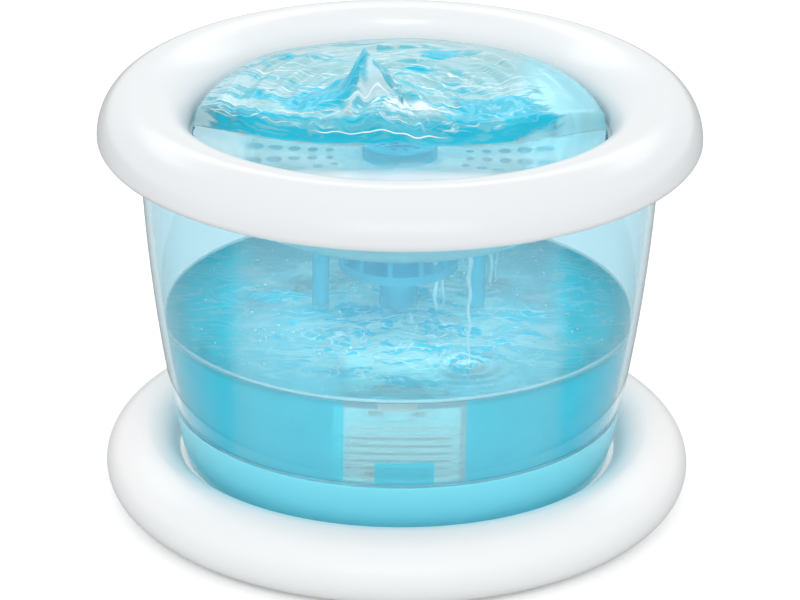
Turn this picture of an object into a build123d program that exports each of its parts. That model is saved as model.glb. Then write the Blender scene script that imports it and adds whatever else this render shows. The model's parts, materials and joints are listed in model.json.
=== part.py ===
"""Pet water fountain, modelled in millimetres.

Frame: +Z up, origin on the table at the centre of the fountain, pump intake towards -Y.
Every physical piece is written to parts/NAME.step in its assembled place.
"""
from build123d import *
from math import cos, radians, sin
import os

# --- base tray: a round spill tray with a rolled rim -------------------------------------
TRAY_CROWN_R = 97.5        # radius of the rim's highest circle
TRAY_CROWN_Z = 27.5
TRAY_WIDE_Z = 12.6         # height where the tray is widest
TRAY_REACH = 16.1          # from the crown circle out to the widest circle (radius 113.6)
TRAY_TUCK = 13.2           # lower half-height of the rolled rim
TRAY_TUCK_ANGLE = 60       # how far the rim rolls under, in degrees
TRAY_WALL = 2.6
GUTTER_Z = 18.3            # groove between the collar and the rim, which drains back
GUTTER_R = 84.8
SLOPE_MID = (90.0, 24.6)   # (radius, height) half-way from the groove up to the crown
UNDER_SLOPE_MID = (91.2, 22.2)
UNDER_SLOPE_R = 86.4
PLATE_TOP_Z = 20.0
COLLAR_IN_R = 79.3         # upstanding collar that centres the tank
COLLAR_OUT_R = 80.9
COLLAR_TOP_Z = 36.0
TRAY_RIB_COUNT = 8
TRAY_RIB_T = 1.8
TRAY_RIB_LOW_Z = 5.0
TRAY_RIB_REACH = 104.0
HUB_OUT_R = 20.0           # ring under the middle that the ribs start from
HUB_IN_R = 18.0
TRIM = 1.0                 # ribs and bosses stay this far inside the outer skin

# --- rubber feet -------------------------------------------------------------------------
FOOT_COUNT = 4
FOOT_CIRCLE_R = 95.0
FOOT_R = 7.1
FOOT_TOP_Z = 3.2
FOOT_BOSS_R = 9.0
FOOT_LIFT = 1.2            # air under the tray's lowest edge
FOOT_ROUND = 0.6

# --- tank --------------------------------------------------------------------------------
TANK_FOOT_R = 83.7
TANK_FOOT_Z = 20.8
TANK_NECK_R = 98.9
TANK_NECK_Z = 142.1
TANK_BELLY = 2.63          # how far the middle of the wall swells past a straight cone
TANK_RIM_Z = 148.0
TANK_WALL = 2.5
SKIRT_WALL = 2.0           # outer wall of the hollow foot
SKIRT_LOW_Z = 18.5
SHELF_Z = 40.0             # ledge over the hollow foot
SHELF_T = 2.2
WELL_R = 76.5              # inside radius below the ledge
FLOOR_T = 2.5
FLOOR_Z = 22.8             # top of the tank floor
NOTCH_W = 9.0              # notch for the cord at the back of the rim
NOTCH_BOTTOM_Z = 134.0
NOTCH_NEAR_Y = 80.0        # the notch is cut through the rear wall between these
NOTCH_FAR_Y = 110.0

# --- top ring ----------------------------------------------------------------------------
RING_CROWN_R = 100.3
RING_TOP_Z = 165.6
RING_WIDE_Z = 148.1
RING_REACH = 14.7          # crown circle to the outer edge (radius 115)
RING_INNER_REACH = 20.0    # crown circle to the opening (radius 80.3)
RING_LIP_Z = 147.6         # lower edge of the opening
RING_TUCK = 6.0
RING_TUCK_ANGLE = 78
RING_WALL = 2.2
RING_RIB_COUNT = 12
RING_RIB_T = 1.6
RING_RIB_NEAR_R = 88.0
RING_RIB_FAR_R = 99.0
RING_NOTCH = ((100.5, 108.0), (138.0, 146.0))   # cord notch in the ring's lip, (y range), (z range)

# --- drinking bowl -----------------------------------------------------------------------
BOWL_FLOOR_Z = 122.0       # top of the perforated floor
BOWL_T = 2.5
BOWL_FLOOR_R = 60.5
BOWL_WALL_R = 79.0
BOWL_WALL_Z = 145.6
BOWL_FLANGE_Z = 151.0
BOWL_FLANGE_T = 2.0
BOWL_WALL_MID = (74.0, 133.5)          # (radius, height) on the inner face of the dish wall
BOWL_WALL_MID_UNDER = (76.0, 131.9)
BOWL_SHOULDER = (84.0, 147.2)          # low step outside the dish, under the ring's opening
BOWL_SHOULDER_UNDER = (84.8, 145.0)
BOWL_FLANGE_R = 90.0
BOWL_WALL_T = 2.2
BOWL_UNDER_Z = 144.0
BOWL_LIP_R = 101.2
BOWL_LIP_Z = 144.4
BOWL_LIP_T = 1.3
HOLE_ROWS = ((27.0, 1.6), (33.5, 2.0), (40.5, 2.4), (48.0, 2.9), (55.8, 3.4))   # (circle, hole radius)
HOLES_PER_ROW = 24
HOLE_START = 7.5           # first hole's angle, so that no hole lies on the middle plane
HUB_FIT = 0.2              # play round the riser
SEAL_T = 1.0

# --- support frame under the bowl ---------------------------------------------------------
FRAME_PLATE_R = 34.0
FRAME_PLATE_T = 2.0
DRUM_R = 23.2
DRUM_WALL = 2.2
DRUM_BOTTOM_Z = 94.0
WINDOW_COUNT = 12
WINDOW_ANGLE = 25.0
WINDOW_LOW_Z = 97.5
WINDOW_HIGH_Z = 103.5
WINDOW_START = -98.0
DRUM_FLOOR_T = 2.0
LEG_X = 30.0
LEG_Y = -2.0
LEG_R = 3.25
LEG_CLEARANCE = 0.3

# --- riser and nozzle ---------------------------------------------------------------------
RISER_R = 7.5
RISER_BORE_R = 5.9
RISER_BELL_R = 8.3
RISER_BELL_BORE_R = 6.95
RISER_LOW_Z = 64.5
RISER_BELL_TOP_Z = 74.0
RISER_TOP_Z = 124.0
RISER_TAPER = 2.0
NOZZLE_R = 14.5
NOZZLE_WALL = 1.8
NOZZLE_TOP_Z = 134.0
NOZZLE_FLOOR_T = 2.0
CAP_T = 2.4
CAP_HOLE_R = 5.5
CAP_JETS = 12
CAP_JET_R = 1.3
CAP_JET_CIRCLE_R = 9.0
CAP_EDGE = 1.0
CAP_SKIRT_PLAY = 0.3
CAP_SKIRT_T = 1.3
CAP_SKIRT_H = 4.0

# --- pump ---------------------------------------------------------------------------------
PUMP_HALF_W = 20.0
PUMP_LOW_Z = 24.3
PUMP_HIGH_Z = 62.3
PUMP_AXIS_Z = (PUMP_LOW_Z + PUMP_HIGH_Z) / 2
PUMP_CORNER = 5.0          # round of the two lower long edges
PUMP_TOP_CORNER = 2.5
HOUSING_FRONT_Y = -12.0
HOUSING_BACK_Y = 34.0
CHAMBER_R = 13.0
CHAMBER_BACK_Y = 7.0
WELL_BORE_R = 6.5
WELL_BORE_END_Y = 28.2
SLEEVE_R = 7.7
STATOR_BAY_HALF_X = 17.0
STATOR_BAY_HALF_Z = 16.0
STATOR_BAY_FRONT_Y = 9.5
SPIGOT_R = 5.6
SPIGOT_BORE_R = 4.5
SPIGOT_TOP_Z = 72.0
SHAFT_R = 1.0
SHAFT_FRONT_Y = -15.5
SHAFT_BACK_Y = 30.6
RUNNING_GAP = 0.06         # radial play of the rotor on its shaft
BUSH_R = 2.2
BUSH_END_Y = 31.0
MAGNET_R = 5.9
MAGNET_FRONT_Y = 8.5
MAGNET_BACK_Y = 26.0
WHEEL_HUB_R = 3.0
WHEEL_FRONT_Y = -9.0
WHEEL_DISC = (5.0, 6.0)    # front and back of the disc that carries the vanes
DISC_INSET = 0.6
IMPELLER_R = 11.4
VANE_COUNT = 6
VANE_ROOT_R = 2.0
VANE_FRONT_Y = -7.5
VANE_HALF_T = 0.6
CORE_FRONT_Y = 12.0        # laminated core: a U round the rotor's sleeve
CORE_BACK_Y = 24.0
CORE_LEG_IN_X = 8.4
CORE_LEG_OUT_X = 13.4
YOKE_LOW_Z = PUMP_AXIS_Z - 14.5
YOKE_HIGH_Z = PUMP_AXIS_Z - 9.5
CORE_TOP_Z = PUMP_AXIS_Z + 8.0
COIL_HALF_X = 7.6
COIL_T = 1.4
GLAND_X = 11.0
GLAND_Z = PUMP_AXIS_Z + 10.0
GLAND_FRONT_Y = 29.0
GLAND_STEM_R = 3.0
GLAND_HEAD_R = 4.4
GLAND_HEAD_T = 4.0
CORD_HOLE_R = 1.7
CORD_HOLE_FRONT_Y = 31.0
OUTLET_SEAL_Z = 67.0
OUTLET_SEAL_T = 2.0
CUP_R = 5.0
CUP_STEM_R = 1.8
CUP_STEM_H = 2.2
CUP_EDGE_T = 0.7
CUP_PLACES = ((-14.0, -5.0), (14.0, -5.0), (-14.0, 27.0), (14.0, 27.0))

# --- chamber cover: the plate that closes the impeller chamber -------------------------------
PLATE_R = 15.5
PLATE_FRONT_Y = -14.0
PLUG_R = 12.0              # the part that enters the chamber
PLUG_BACK_Y = -9.4
PLUG_BORE_R = 10.2
EYE_R = 6.0                # inlet of the impeller
HUB_R = 3.0                # boss that holds the front bush
HUB_FRONT_Y = -17.0
SPOKE_COUNT = 3
SPOKE_START = 30.0
SPOKE_IN_R = 2.4
SPOKE_OUT_R = 6.6
SPOKE_HALF_T = 0.7
PLATE_BACK_Y = -12.6
FRONT_BUSH_Y = -16.0
GROOVE = (-11.5, -10.1)    # front and back of the seal's groove
GROOVE_R = 11.4
RING_SEAL_R = 12.1
RING_SEAL_SECTION_R = 0.68
RING_SEAL_Y = -10.8

# --- filter cover and what it holds ---------------------------------------------------------
COVER_FRONT_Y = -34.0
COVER_WALL = 1.8
SLIT_COUNT = 7
SLIT_PITCH = 3.12
SLIT_FIRST_Z = 26.4
SLIT_H = 1.2
SLIT_HALF_W = 17.0
FINGER_NOTCH_HALF_W = 10.2
FINGER_NOTCH_TOP_Z = 33.0
SLOT_HALF_W = 9.0
SLOT_LOW_Z = 54.6
SLOT_HIGH_Z = 57.0
SLIT_SHORTER = (2.2, 0.4)  # the two lowest slits are shorter at each end, along the round corners
COVER_EDGE = 0.8
NOTCH_DEPTH = 14.0         # how far back the finger notch runs under the cover
FOAM_Y = (-30.2, -22.2)    # front and back of the foam
CARBON_Y = (-22.0, -17.4)
PAD_PLAY = 0.3
PAD_CORNER = 3.2
PAD_NOTCH_PLAY = 0.6
KNOB_TOP = (5.2, 59.0)     # (half width, height)
KNOB_BOTTOM = (3.8, 53.4)
KNOB_T = 2.0
KNOB_GAP = 0.15
SLIDER_STEM_HALF_X = 2.0
SLIDER_PLATE_HALF_X = 4.5
SLIDER_PLATE_Z = (52.6, 59.0)
SLIDER_BACK = 3.2          # behind the cover's front face
SLIDER_FIT = 0.3
PAST = 1.0                 # how far a cutter runs past the face that it cuts


def spun(*edges):
    """Solid of revolution about Z; the edges close a profile drawn as (radius, height)."""
    return revolve(Plane.XZ * make_face(edges), Axis.Z)


def pipe(outer_r, inner_r, low, high):
    """Upright tube round the Z axis."""
    return spun(Polyline((inner_r, low), (outer_r, low), (outer_r, high), (inner_r, high), close=True))


def disc(radius, low, high, x=0.0, y=0.0):
    """Upright solid cylinder."""
    return Pos(x, y, (low + high) / 2) * Cylinder(radius, high - low)


def lying(radius, front, back, x=0.0, z=PUMP_AXIS_Z):
    """Solid cylinder along Y."""
    return Pos(x, (front + back) / 2, z) * Rot(90, 0, 0) * Cylinder(radius, back - front)


def block(x0, x1, y0, y1, z0, z1):
    """Box between two corners."""
    return Pos((x0 + x1) / 2, (y0 + y1) / 2, (z0 + z1) / 2) * Box(x1 - x0, y1 - y0, z1 - z0)


def tank_radius(z):
    """Outside radius of the tank wall at a height."""
    t = (z - TANK_FOOT_Z) / (TANK_NECK_Z - TANK_FOOT_Z)
    return TANK_FOOT_R + (TANK_NECK_R - TANK_FOOT_R) * t + TANK_BELLY * 4 * t * (1 - t)


def wall_arc(z0, z1, inset):
    """Arc of the tank wall between two heights, set in from the outside face."""
    points = [(tank_radius(z) - inset, z) for z in (z0, (z0 + z1) / 2, z1)]
    return ThreePointArc(*points)


def oval(centre, rx, rz, start, end):
    """Quarter or part of an ellipse between two angles in degrees."""
    return EllipticalCenterArc(centre, rx, rz, start, arc_size=end - start)


def oval_point(centre, rx, rz, angle):
    """Point of an ellipse at an angle in degrees."""
    return centre[0] + rx * cos(radians(angle)), centre[1] + rz * sin(radians(angle))


def tray_shell():
    """Rolled rim, gutter, centring collar and middle plate in one wall."""
    middle = (TRAY_CROWN_R, TRAY_WIDE_Z)
    rise = TRAY_CROWN_Z - TRAY_WIDE_Z
    inner_reach = TRAY_REACH - TRAY_WALL
    inner_tuck = TRAY_TUCK - TRAY_WALL
    outer_end = oval_point(middle, TRAY_REACH, TRAY_TUCK, -TRAY_TUCK_ANGLE)
    inner_end = oval_point(middle, inner_reach, inner_tuck, -TRAY_TUCK_ANGLE)
    under_crown = (TRAY_CROWN_R, TRAY_CROWN_Z - TRAY_WALL)
    return spun(
        Polyline((0, PLATE_TOP_Z), (COLLAR_IN_R, PLATE_TOP_Z), (COLLAR_IN_R, COLLAR_TOP_Z),
                 (COLLAR_OUT_R, COLLAR_TOP_Z), (COLLAR_OUT_R, GUTTER_Z), (GUTTER_R, GUTTER_Z)),
        ThreePointArc((GUTTER_R, GUTTER_Z), SLOPE_MID, (TRAY_CROWN_R, TRAY_CROWN_Z)),
        oval(middle, TRAY_REACH, rise, 90, 0),
        oval(middle, TRAY_REACH, TRAY_TUCK, 0, -TRAY_TUCK_ANGLE),
        Line(outer_end, inner_end),
        oval(middle, inner_reach, inner_tuck, -TRAY_TUCK_ANGLE, 0),
        oval(middle, inner_reach, rise - TRAY_WALL, 0, 90),
        ThreePointArc(under_crown, UNDER_SLOPE_MID, (UNDER_SLOPE_R, GUTTER_Z - TRAY_WALL)),
        Polyline((UNDER_SLOPE_R, GUTTER_Z - TRAY_WALL), (COLLAR_IN_R, GUTTER_Z - TRAY_WALL),
                 (COLLAR_IN_R - TRAY_WALL, PLATE_TOP_Z - TRAY_WALL), (0, PLATE_TOP_Z - TRAY_WALL),
                 (0, PLATE_TOP_Z)),
    )


def tray_envelope():
    """The tray's outside shape as a solid, a little smaller, which trims the ribs and bosses."""
    middle = (TRAY_CROWN_R, TRAY_WIDE_Z)
    reach = TRAY_REACH - TRIM
    end = oval_point(middle, TRAY_REACH, TRAY_TUCK, -TRAY_TUCK_ANGLE)
    top, groove = PLATE_TOP_Z - TRIM, GUTTER_Z - TRIM
    return spun(
        Polyline((0, top), (COLLAR_IN_R, top), (GUTTER_R, groove)),
        ThreePointArc((GUTTER_R, groove), (SLOPE_MID[0], SLOPE_MID[1] - TRIM),
                      (TRAY_CROWN_R, TRAY_CROWN_Z - TRIM)),
        oval(middle, reach, TRAY_CROWN_Z - TRIM - TRAY_WIDE_Z, 90, 0),
        Polyline((TRAY_CROWN_R + reach, TRAY_WIDE_Z), (end[0] - TRIM / 2, FOOT_LIFT), (0, FOOT_LIFT),
                 (0, top)),
    )


def round_places(count, radius, start=45.0):
    """Evenly spaced (x, y, angle) places on a circle."""
    for i in range(count):
        angle = start + 360.0 * i / count
        yield radius * cos(radians(angle)), radius * sin(radians(angle)), angle


def base_tray():
    """Spill tray with its ribs, hub ring and the bosses that hold the feet."""
    tray = tray_shell()
    envelope = tray_envelope()
    for i in range(TRAY_RIB_COUNT):
        rib = Rot(0, 0, 360.0 * i / TRAY_RIB_COUNT) * block(
            HUB_IN_R, TRAY_RIB_REACH, -TRAY_RIB_T / 2, TRAY_RIB_T / 2, TRAY_RIB_LOW_Z, TRAY_CROWN_Z)
        tray += rib & envelope
    tray += pipe(HUB_OUT_R, HUB_IN_R, TRAY_RIB_LOW_Z, PLATE_TOP_Z - TRIM)
    for x, y, _ in round_places(FOOT_COUNT, FOOT_CIRCLE_R):
        tray += disc(FOOT_BOSS_R, FOOT_LIFT, TRAY_CROWN_Z, x, y) & envelope
        tray -= disc(FOOT_R, 0, FOOT_TOP_Z, x, y)
    return tray


def rubber_feet():
    """Four round feet pressed into the tray's bosses."""
    foot = disc(FOOT_R, 0, FOOT_TOP_Z)
    foot = fillet(foot.edges().group_by(Axis.Z)[0], FOOT_ROUND)
    return Part() + [Pos(x, y, 0) * foot for x, y, _ in round_places(FOOT_COUNT, FOOT_CIRCLE_R)]


def tank_shell():
    """Tank with its well, ledge and hollow foot in one wall, notched at the back of the rim."""
    under = FLOOR_Z - FLOOR_T
    outer_well_r = WELL_R + SHELF_T
    shelf_under = SHELF_Z - SHELF_T
    tank = spun(
        wall_arc(SKIRT_LOW_Z, TANK_RIM_Z, 0),
        Line((tank_radius(TANK_RIM_Z), TANK_RIM_Z), (tank_radius(TANK_RIM_Z) - TANK_WALL, TANK_RIM_Z)),
        wall_arc(TANK_RIM_Z, SHELF_Z, TANK_WALL),
        Polyline((tank_radius(SHELF_Z) - TANK_WALL, SHELF_Z), (WELL_R, SHELF_Z), (WELL_R, FLOOR_Z),
                 (0, FLOOR_Z), (0, under), (outer_well_r, under), (outer_well_r, shelf_under),
                 (tank_radius(shelf_under) - SKIRT_WALL, shelf_under)),
        wall_arc(shelf_under, SKIRT_LOW_Z, SKIRT_WALL),
        Line((tank_radius(SKIRT_LOW_Z) - SKIRT_WALL, SKIRT_LOW_Z), (tank_radius(SKIRT_LOW_Z), SKIRT_LOW_Z)),
    )
    half = NOTCH_W / 2
    notch = block(-half, half, NOTCH_NEAR_Y, NOTCH_FAR_Y, NOTCH_BOTTOM_Z + half, TANK_RIM_Z + PAST)
    notch += lying(half, NOTCH_NEAR_Y, NOTCH_FAR_Y, 0, NOTCH_BOTTOM_Z + half)
    return tank - notch


def top_ring():
    """Hollow rolled ring that sits over the rim, with ribs inside and a cord notch at the back."""
    upper = (RING_CROWN_R, RING_WIDE_Z)
    inner = (RING_CROWN_R, RING_LIP_Z)
    rise = RING_TOP_Z - RING_WIDE_Z
    inner_rise = RING_TOP_Z - RING_LIP_Z
    w = RING_WALL
    opening_r = RING_CROWN_R - RING_INNER_REACH
    outer_end = oval_point(upper, RING_REACH, RING_TUCK, -RING_TUCK_ANGLE)
    inner_end = oval_point(upper, RING_REACH - w, RING_TUCK - w, -RING_TUCK_ANGLE)
    skin = (oval(upper, RING_REACH, rise, 0, 90), oval(inner, RING_INNER_REACH, inner_rise, 90, 180))
    ring = spun(
        oval(upper, RING_REACH, RING_TUCK, -RING_TUCK_ANGLE, 0),
        *skin,
        Line((opening_r, RING_LIP_Z), (opening_r + w, RING_LIP_Z)),
        oval(inner, RING_INNER_REACH - w, inner_rise - w, 180, 90),
        oval(upper, RING_REACH - w, rise - w, 90, 0),
        oval(upper, RING_REACH - w, RING_TUCK - w, 0, -RING_TUCK_ANGLE),
        Line(inner_end, outer_end),
    )
    envelope = spun(
        *skin,
        Polyline((opening_r, RING_LIP_Z), (RING_CROWN_R + RING_REACH, RING_LIP_Z),
                 (RING_CROWN_R + RING_REACH, RING_WIDE_Z)),
    )
    for i in range(RING_RIB_COUNT):
        rib = Rot(0, 0, 360.0 * (i + 0.5) / RING_RIB_COUNT) * block(
            RING_RIB_NEAR_R, RING_RIB_FAR_R, -RING_RIB_T / 2, RING_RIB_T / 2, BOWL_FLANGE_Z, RING_TOP_Z)
        ring += rib & envelope
    return ring - block(-NOTCH_W / 2, NOTCH_W / 2, *RING_NOTCH[0], *RING_NOTCH[1])


def bowl_profile():
    """Dish wall, shoulder, flange and hanging lip as one closed profile."""
    under_flange = BOWL_FLANGE_Z - BOWL_FLANGE_T
    under_floor = BOWL_FLOOR_Z - BOWL_T
    lip_in = BOWL_LIP_R - BOWL_LIP_T
    wall_top = (BOWL_WALL_R, BOWL_WALL_Z)
    wall_top_under = (BOWL_WALL_R + BOWL_WALL_T, BOWL_UNDER_Z)
    floor_edge_under = (BOWL_FLOOR_R + BOWL_T / 3, under_floor)
    return (
        Line((0, BOWL_FLOOR_Z), (BOWL_FLOOR_R, BOWL_FLOOR_Z)),
        ThreePointArc((BOWL_FLOOR_R, BOWL_FLOOR_Z), BOWL_WALL_MID, wall_top),
        Polyline(wall_top, BOWL_SHOULDER, (BOWL_FLANGE_R, BOWL_FLANGE_Z), (BOWL_LIP_R, BOWL_FLANGE_Z),
                 (BOWL_LIP_R, BOWL_LIP_Z), (lip_in, BOWL_LIP_Z), (lip_in, under_flange),
                 (BOWL_FLANGE_R + BOWL_FLANGE_T / 4, under_flange), BOWL_SHOULDER_UNDER, wall_top_under),
        ThreePointArc(wall_top_under, BOWL_WALL_MID_UNDER, floor_edge_under),
        Polyline(floor_edge_under, (0, under_floor), (0, BOWL_FLOOR_Z)),
    )


def drinking_bowl():
    """Dish with five rings of drain holes, hung on the tank's rim by its flange."""
    bowl = spun(*bowl_profile())
    low, high = BOWL_FLOOR_Z - BOWL_T - PAST, BOWL_FLOOR_Z + PAST
    holes = [disc(RISER_R + HUB_FIT, low, high)]
    for radius, hole_r in HOLE_ROWS:
        for x, y, _ in round_places(HOLES_PER_ROW, radius, HOLE_START):
            holes.append(disc(hole_r, low, high, x, y))
    cord_notch = block(-NOTCH_W / 2, NOTCH_W / 2, BOWL_LIP_R - 2 * BOWL_LIP_T, BOWL_LIP_R + PAST,
                       BOWL_LIP_Z - PAST, BOWL_FLANGE_Z - BOWL_FLANGE_T)
    return bowl - holes - cord_notch


def bowl_seal():
    """Flat sealing ring between the tank's rim and the bowl's flange."""
    inner = tank_radius(TANK_RIM_Z) - TANK_WALL
    return pipe(inner + TANK_WALL, inner, TANK_RIM_Z, TANK_RIM_Z + SEAL_T)


def support_frame():
    """Plate under the bowl with a windowed drum and two legs that stand on the tank floor."""
    plate_top = BOWL_FLOOR_Z - BOWL_T
    frame = pipe(FRAME_PLATE_R, RISER_R + HUB_FIT, plate_top - FRAME_PLATE_T, plate_top)
    frame += pipe(DRUM_R, DRUM_R - DRUM_WALL, DRUM_BOTTOM_Z, plate_top - FRAME_PLATE_T)
    frame += pipe(DRUM_R, RISER_R, DRUM_BOTTOM_Z, DRUM_BOTTOM_Z + DRUM_FLOOR_T)
    leg_low = FLOOR_Z + LEG_CLEARANCE
    for x in (-LEG_X, LEG_X):
        frame += disc(LEG_R, leg_low, plate_top - FRAME_PLATE_T, x, LEG_Y)
    window_width = 2 * DRUM_R * sin(radians(WINDOW_ANGLE / 2))
    for i in range(WINDOW_COUNT):
        angle = WINDOW_START + 360.0 * (i + 0.5) / WINDOW_COUNT
        frame -= Rot(0, 0, angle) * block(DRUM_R - DRUM_WALL - PAST, DRUM_R + PAST, -window_width / 2,
                                          window_width / 2, WINDOW_LOW_Z, WINDOW_HIGH_Z)
    return frame


def riser_tube():
    """Pipe from the pump's spigot up to the nozzle, belled at its foot."""
    return spun(Polyline(
        (RISER_BELL_BORE_R, RISER_LOW_Z), (RISER_BELL_R, RISER_LOW_Z), (RISER_BELL_R, RISER_BELL_TOP_Z),
        (RISER_R, RISER_BELL_TOP_Z + RISER_TAPER), (RISER_R, RISER_TOP_Z), (RISER_BORE_R, RISER_TOP_Z),
        (RISER_BORE_R, RISER_BELL_TOP_Z), (RISER_BELL_BORE_R, RISER_BELL_TOP_Z - RISER_TAPER / 2),
        close=True))


def nozzle_body():
    """Low cup on the bowl's floor round the riser's top."""
    body = pipe(NOZZLE_R, RISER_R, BOWL_FLOOR_Z, BOWL_FLOOR_Z + NOZZLE_FLOOR_T)
    return body + pipe(NOZZLE_R, NOZZLE_R - NOZZLE_WALL, BOWL_FLOOR_Z, NOZZLE_TOP_Z)


def nozzle_cap():
    """Lift-off lid of the nozzle with a middle hole and a ring of jets."""
    skirt_r = NOZZLE_R - NOZZLE_WALL - CAP_SKIRT_PLAY
    top = NOZZLE_TOP_Z + CAP_T
    cap = pipe(NOZZLE_R, CAP_HOLE_R, NOZZLE_TOP_Z, top)
    cap = chamfer(cap.edges().group_by(Axis.Z)[-1].sort_by(SortBy.LENGTH)[-1:], CAP_EDGE)
    cap += pipe(skirt_r, skirt_r - CAP_SKIRT_T, NOZZLE_TOP_Z - CAP_SKIRT_H, NOZZLE_TOP_Z)
    places = round_places(CAP_JETS, CAP_JET_CIRCLE_R)
    return cap - [disc(CAP_JET_R, NOZZLE_TOP_Z - PAST, top + PAST, x, y) for x, y, _ in places]


def rounded_case(front, back, inset=0.0):
    """Box along Y with rounded lower and tighter upper corners, as the pump's cases have."""
    half = PUMP_HALF_W - inset
    low, high = PUMP_LOW_Z + inset, PUMP_HIGH_Z - inset
    case = block(-half, half, front, back, low, high)
    long_edges = case.edges().filter_by(Axis.Y)
    case = fillet(long_edges.group_by(Axis.Z)[0], PUMP_CORNER - inset)
    return fillet(case.edges().filter_by(Axis.Y).group_by(Axis.Z)[-1], PUMP_TOP_CORNER - inset / 2)


def stator_bay():
    """Space behind the impeller chamber that the motor is cast into."""
    bay = block(-STATOR_BAY_HALF_X, STATOR_BAY_HALF_X, STATOR_BAY_FRONT_Y, HOUSING_BACK_Y,
                PUMP_AXIS_Z - STATOR_BAY_HALF_Z, PUMP_AXIS_Z + STATOR_BAY_HALF_Z)
    return bay - lying(SLEEVE_R, STATOR_BAY_FRONT_Y, BUSH_END_Y + PAST)


def pump_housing():
    """Case with the impeller chamber, the rotor's blind bore, the motor bay and the outlet spigot."""
    housing = rounded_case(HOUSING_FRONT_Y, HOUSING_BACK_Y)
    housing -= stator_bay()
    housing += disc(SPIGOT_R, PUMP_HIGH_Z, SPIGOT_TOP_Z)
    housing -= lying(CHAMBER_R, HOUSING_FRONT_Y, CHAMBER_BACK_Y)
    housing -= lying(WELL_BORE_R, CHAMBER_BACK_Y, WELL_BORE_END_Y)
    housing -= lying(BUSH_R, WELL_BORE_END_Y, BUSH_END_Y)
    housing -= disc(SPIGOT_BORE_R, PUMP_AXIS_Z, SPIGOT_TOP_Z)
    for x, y in CUP_PLACES:
        housing -= disc(CUP_STEM_R, PUMP_LOW_Z, PUMP_LOW_Z + CUP_STEM_H, x, y)
    return housing


def suction_cups():
    """Four cups under the pump that hold it to the tank floor."""
    cup = spun(Polyline(
        (0, PUMP_LOW_Z + CUP_STEM_H), (CUP_STEM_R, PUMP_LOW_Z + CUP_STEM_H), (CUP_STEM_R, PUMP_LOW_Z),
        (CUP_R, FLOOR_Z + CUP_EDGE_T), (CUP_R, FLOOR_Z), (0, FLOOR_Z), close=True))
    return Part() + [Pos(x, y, 0) * cup for x, y in CUP_PLACES]


def stator_core():
    """Laminated U: a yoke under the rotor's sleeve and a leg on each side of it."""
    core = block(-CORE_LEG_OUT_X, CORE_LEG_OUT_X, CORE_FRONT_Y, CORE_BACK_Y, YOKE_LOW_Z, YOKE_HIGH_Z)
    for side in (-1, 1):
        x0, x1 = sorted((side * CORE_LEG_IN_X, side * CORE_LEG_OUT_X))
        core += block(x0, x1, CORE_FRONT_Y, CORE_BACK_Y, YOKE_LOW_Z, CORE_TOP_Z)
    return core


def coil_winding():
    """Winding round the yoke."""
    low, high = YOKE_LOW_Z - COIL_T, YOKE_HIGH_Z + COIL_T
    coil = block(-COIL_HALF_X, COIL_HALF_X, CORE_FRONT_Y - COIL_T, CORE_BACK_Y + COIL_T, low, high)
    return coil - block(-COIL_HALF_X - PAST, COIL_HALF_X + PAST, CORE_FRONT_Y, CORE_BACK_Y,
                        YOKE_LOW_Z, YOKE_HIGH_Z)


def potting_resin():
    """Resin cast round the core and the winding; its back face closes the pump."""
    return stator_bay() - stator_core() - coil_winding() - gland_stem()


def gland_stem():
    """The part of the cord gland that sits in the resin."""
    return lying(GLAND_STEM_R, GLAND_FRONT_Y, HOUSING_BACK_Y, GLAND_X, GLAND_Z)


def cable_gland():
    """Rubber gland at the pump's back with a hole for the cord."""
    back = HOUSING_BACK_Y + GLAND_HEAD_T
    gland = gland_stem() + lying(GLAND_HEAD_R, HOUSING_BACK_Y, back, GLAND_X, GLAND_Z)
    return gland - lying(CORD_HOLE_R, CORD_HOLE_FRONT_Y, back + PAST, GLAND_X, GLAND_Z)


def outlet_seal():
    """Ring between the spigot and the riser's bell."""
    return pipe(RISER_BELL_BORE_R - 0.1, SPIGOT_R, OUTLET_SEAL_Z, OUTLET_SEAL_Z + OUTLET_SEAL_T)


def ceramic_shaft():
    """Fixed shaft that the rotor turns on."""
    return lying(SHAFT_R, SHAFT_FRONT_Y, SHAFT_BACK_Y)


def rear_bush():
    """Bush at the end of the blind bore that holds the shaft."""
    return lying(BUSH_R, WELL_BORE_END_Y, BUSH_END_Y) - ceramic_shaft()


def front_bush():
    """Bush in the chamber cover's boss that holds the shaft's front end."""
    bore = lying(SHAFT_R + RUNNING_GAP, FRONT_BUSH_Y + 0.2, PLATE_BACK_Y + PAST)
    return lying(BUSH_R, FRONT_BUSH_Y, PLATE_BACK_Y) - bore


def rotor_bore():
    """Running bore through the magnet and the impeller."""
    return lying(SHAFT_R + RUNNING_GAP, WHEEL_FRONT_Y - PAST, MAGNET_BACK_Y + PAST)


def rotor_magnet():
    """Magnet in the blind bore."""
    return lying(MAGNET_R, MAGNET_FRONT_Y, MAGNET_BACK_Y) - rotor_bore()


def impeller():
    """Hub, disc and straight vanes in front of the magnet."""
    wheel = lying(WHEEL_HUB_R, WHEEL_FRONT_Y, MAGNET_FRONT_Y) + lying(IMPELLER_R - DISC_INSET, *WHEEL_DISC)
    for i in range(VANE_COUNT):
        vane = block(VANE_ROOT_R, IMPELLER_R, VANE_FRONT_Y, WHEEL_DISC[0], -VANE_HALF_T, VANE_HALF_T)
        wheel += Pos(0, 0, PUMP_AXIS_Z) * Rot(0, 360.0 * i / VANE_COUNT, 0) * vane
    return wheel - rotor_bore()


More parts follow.
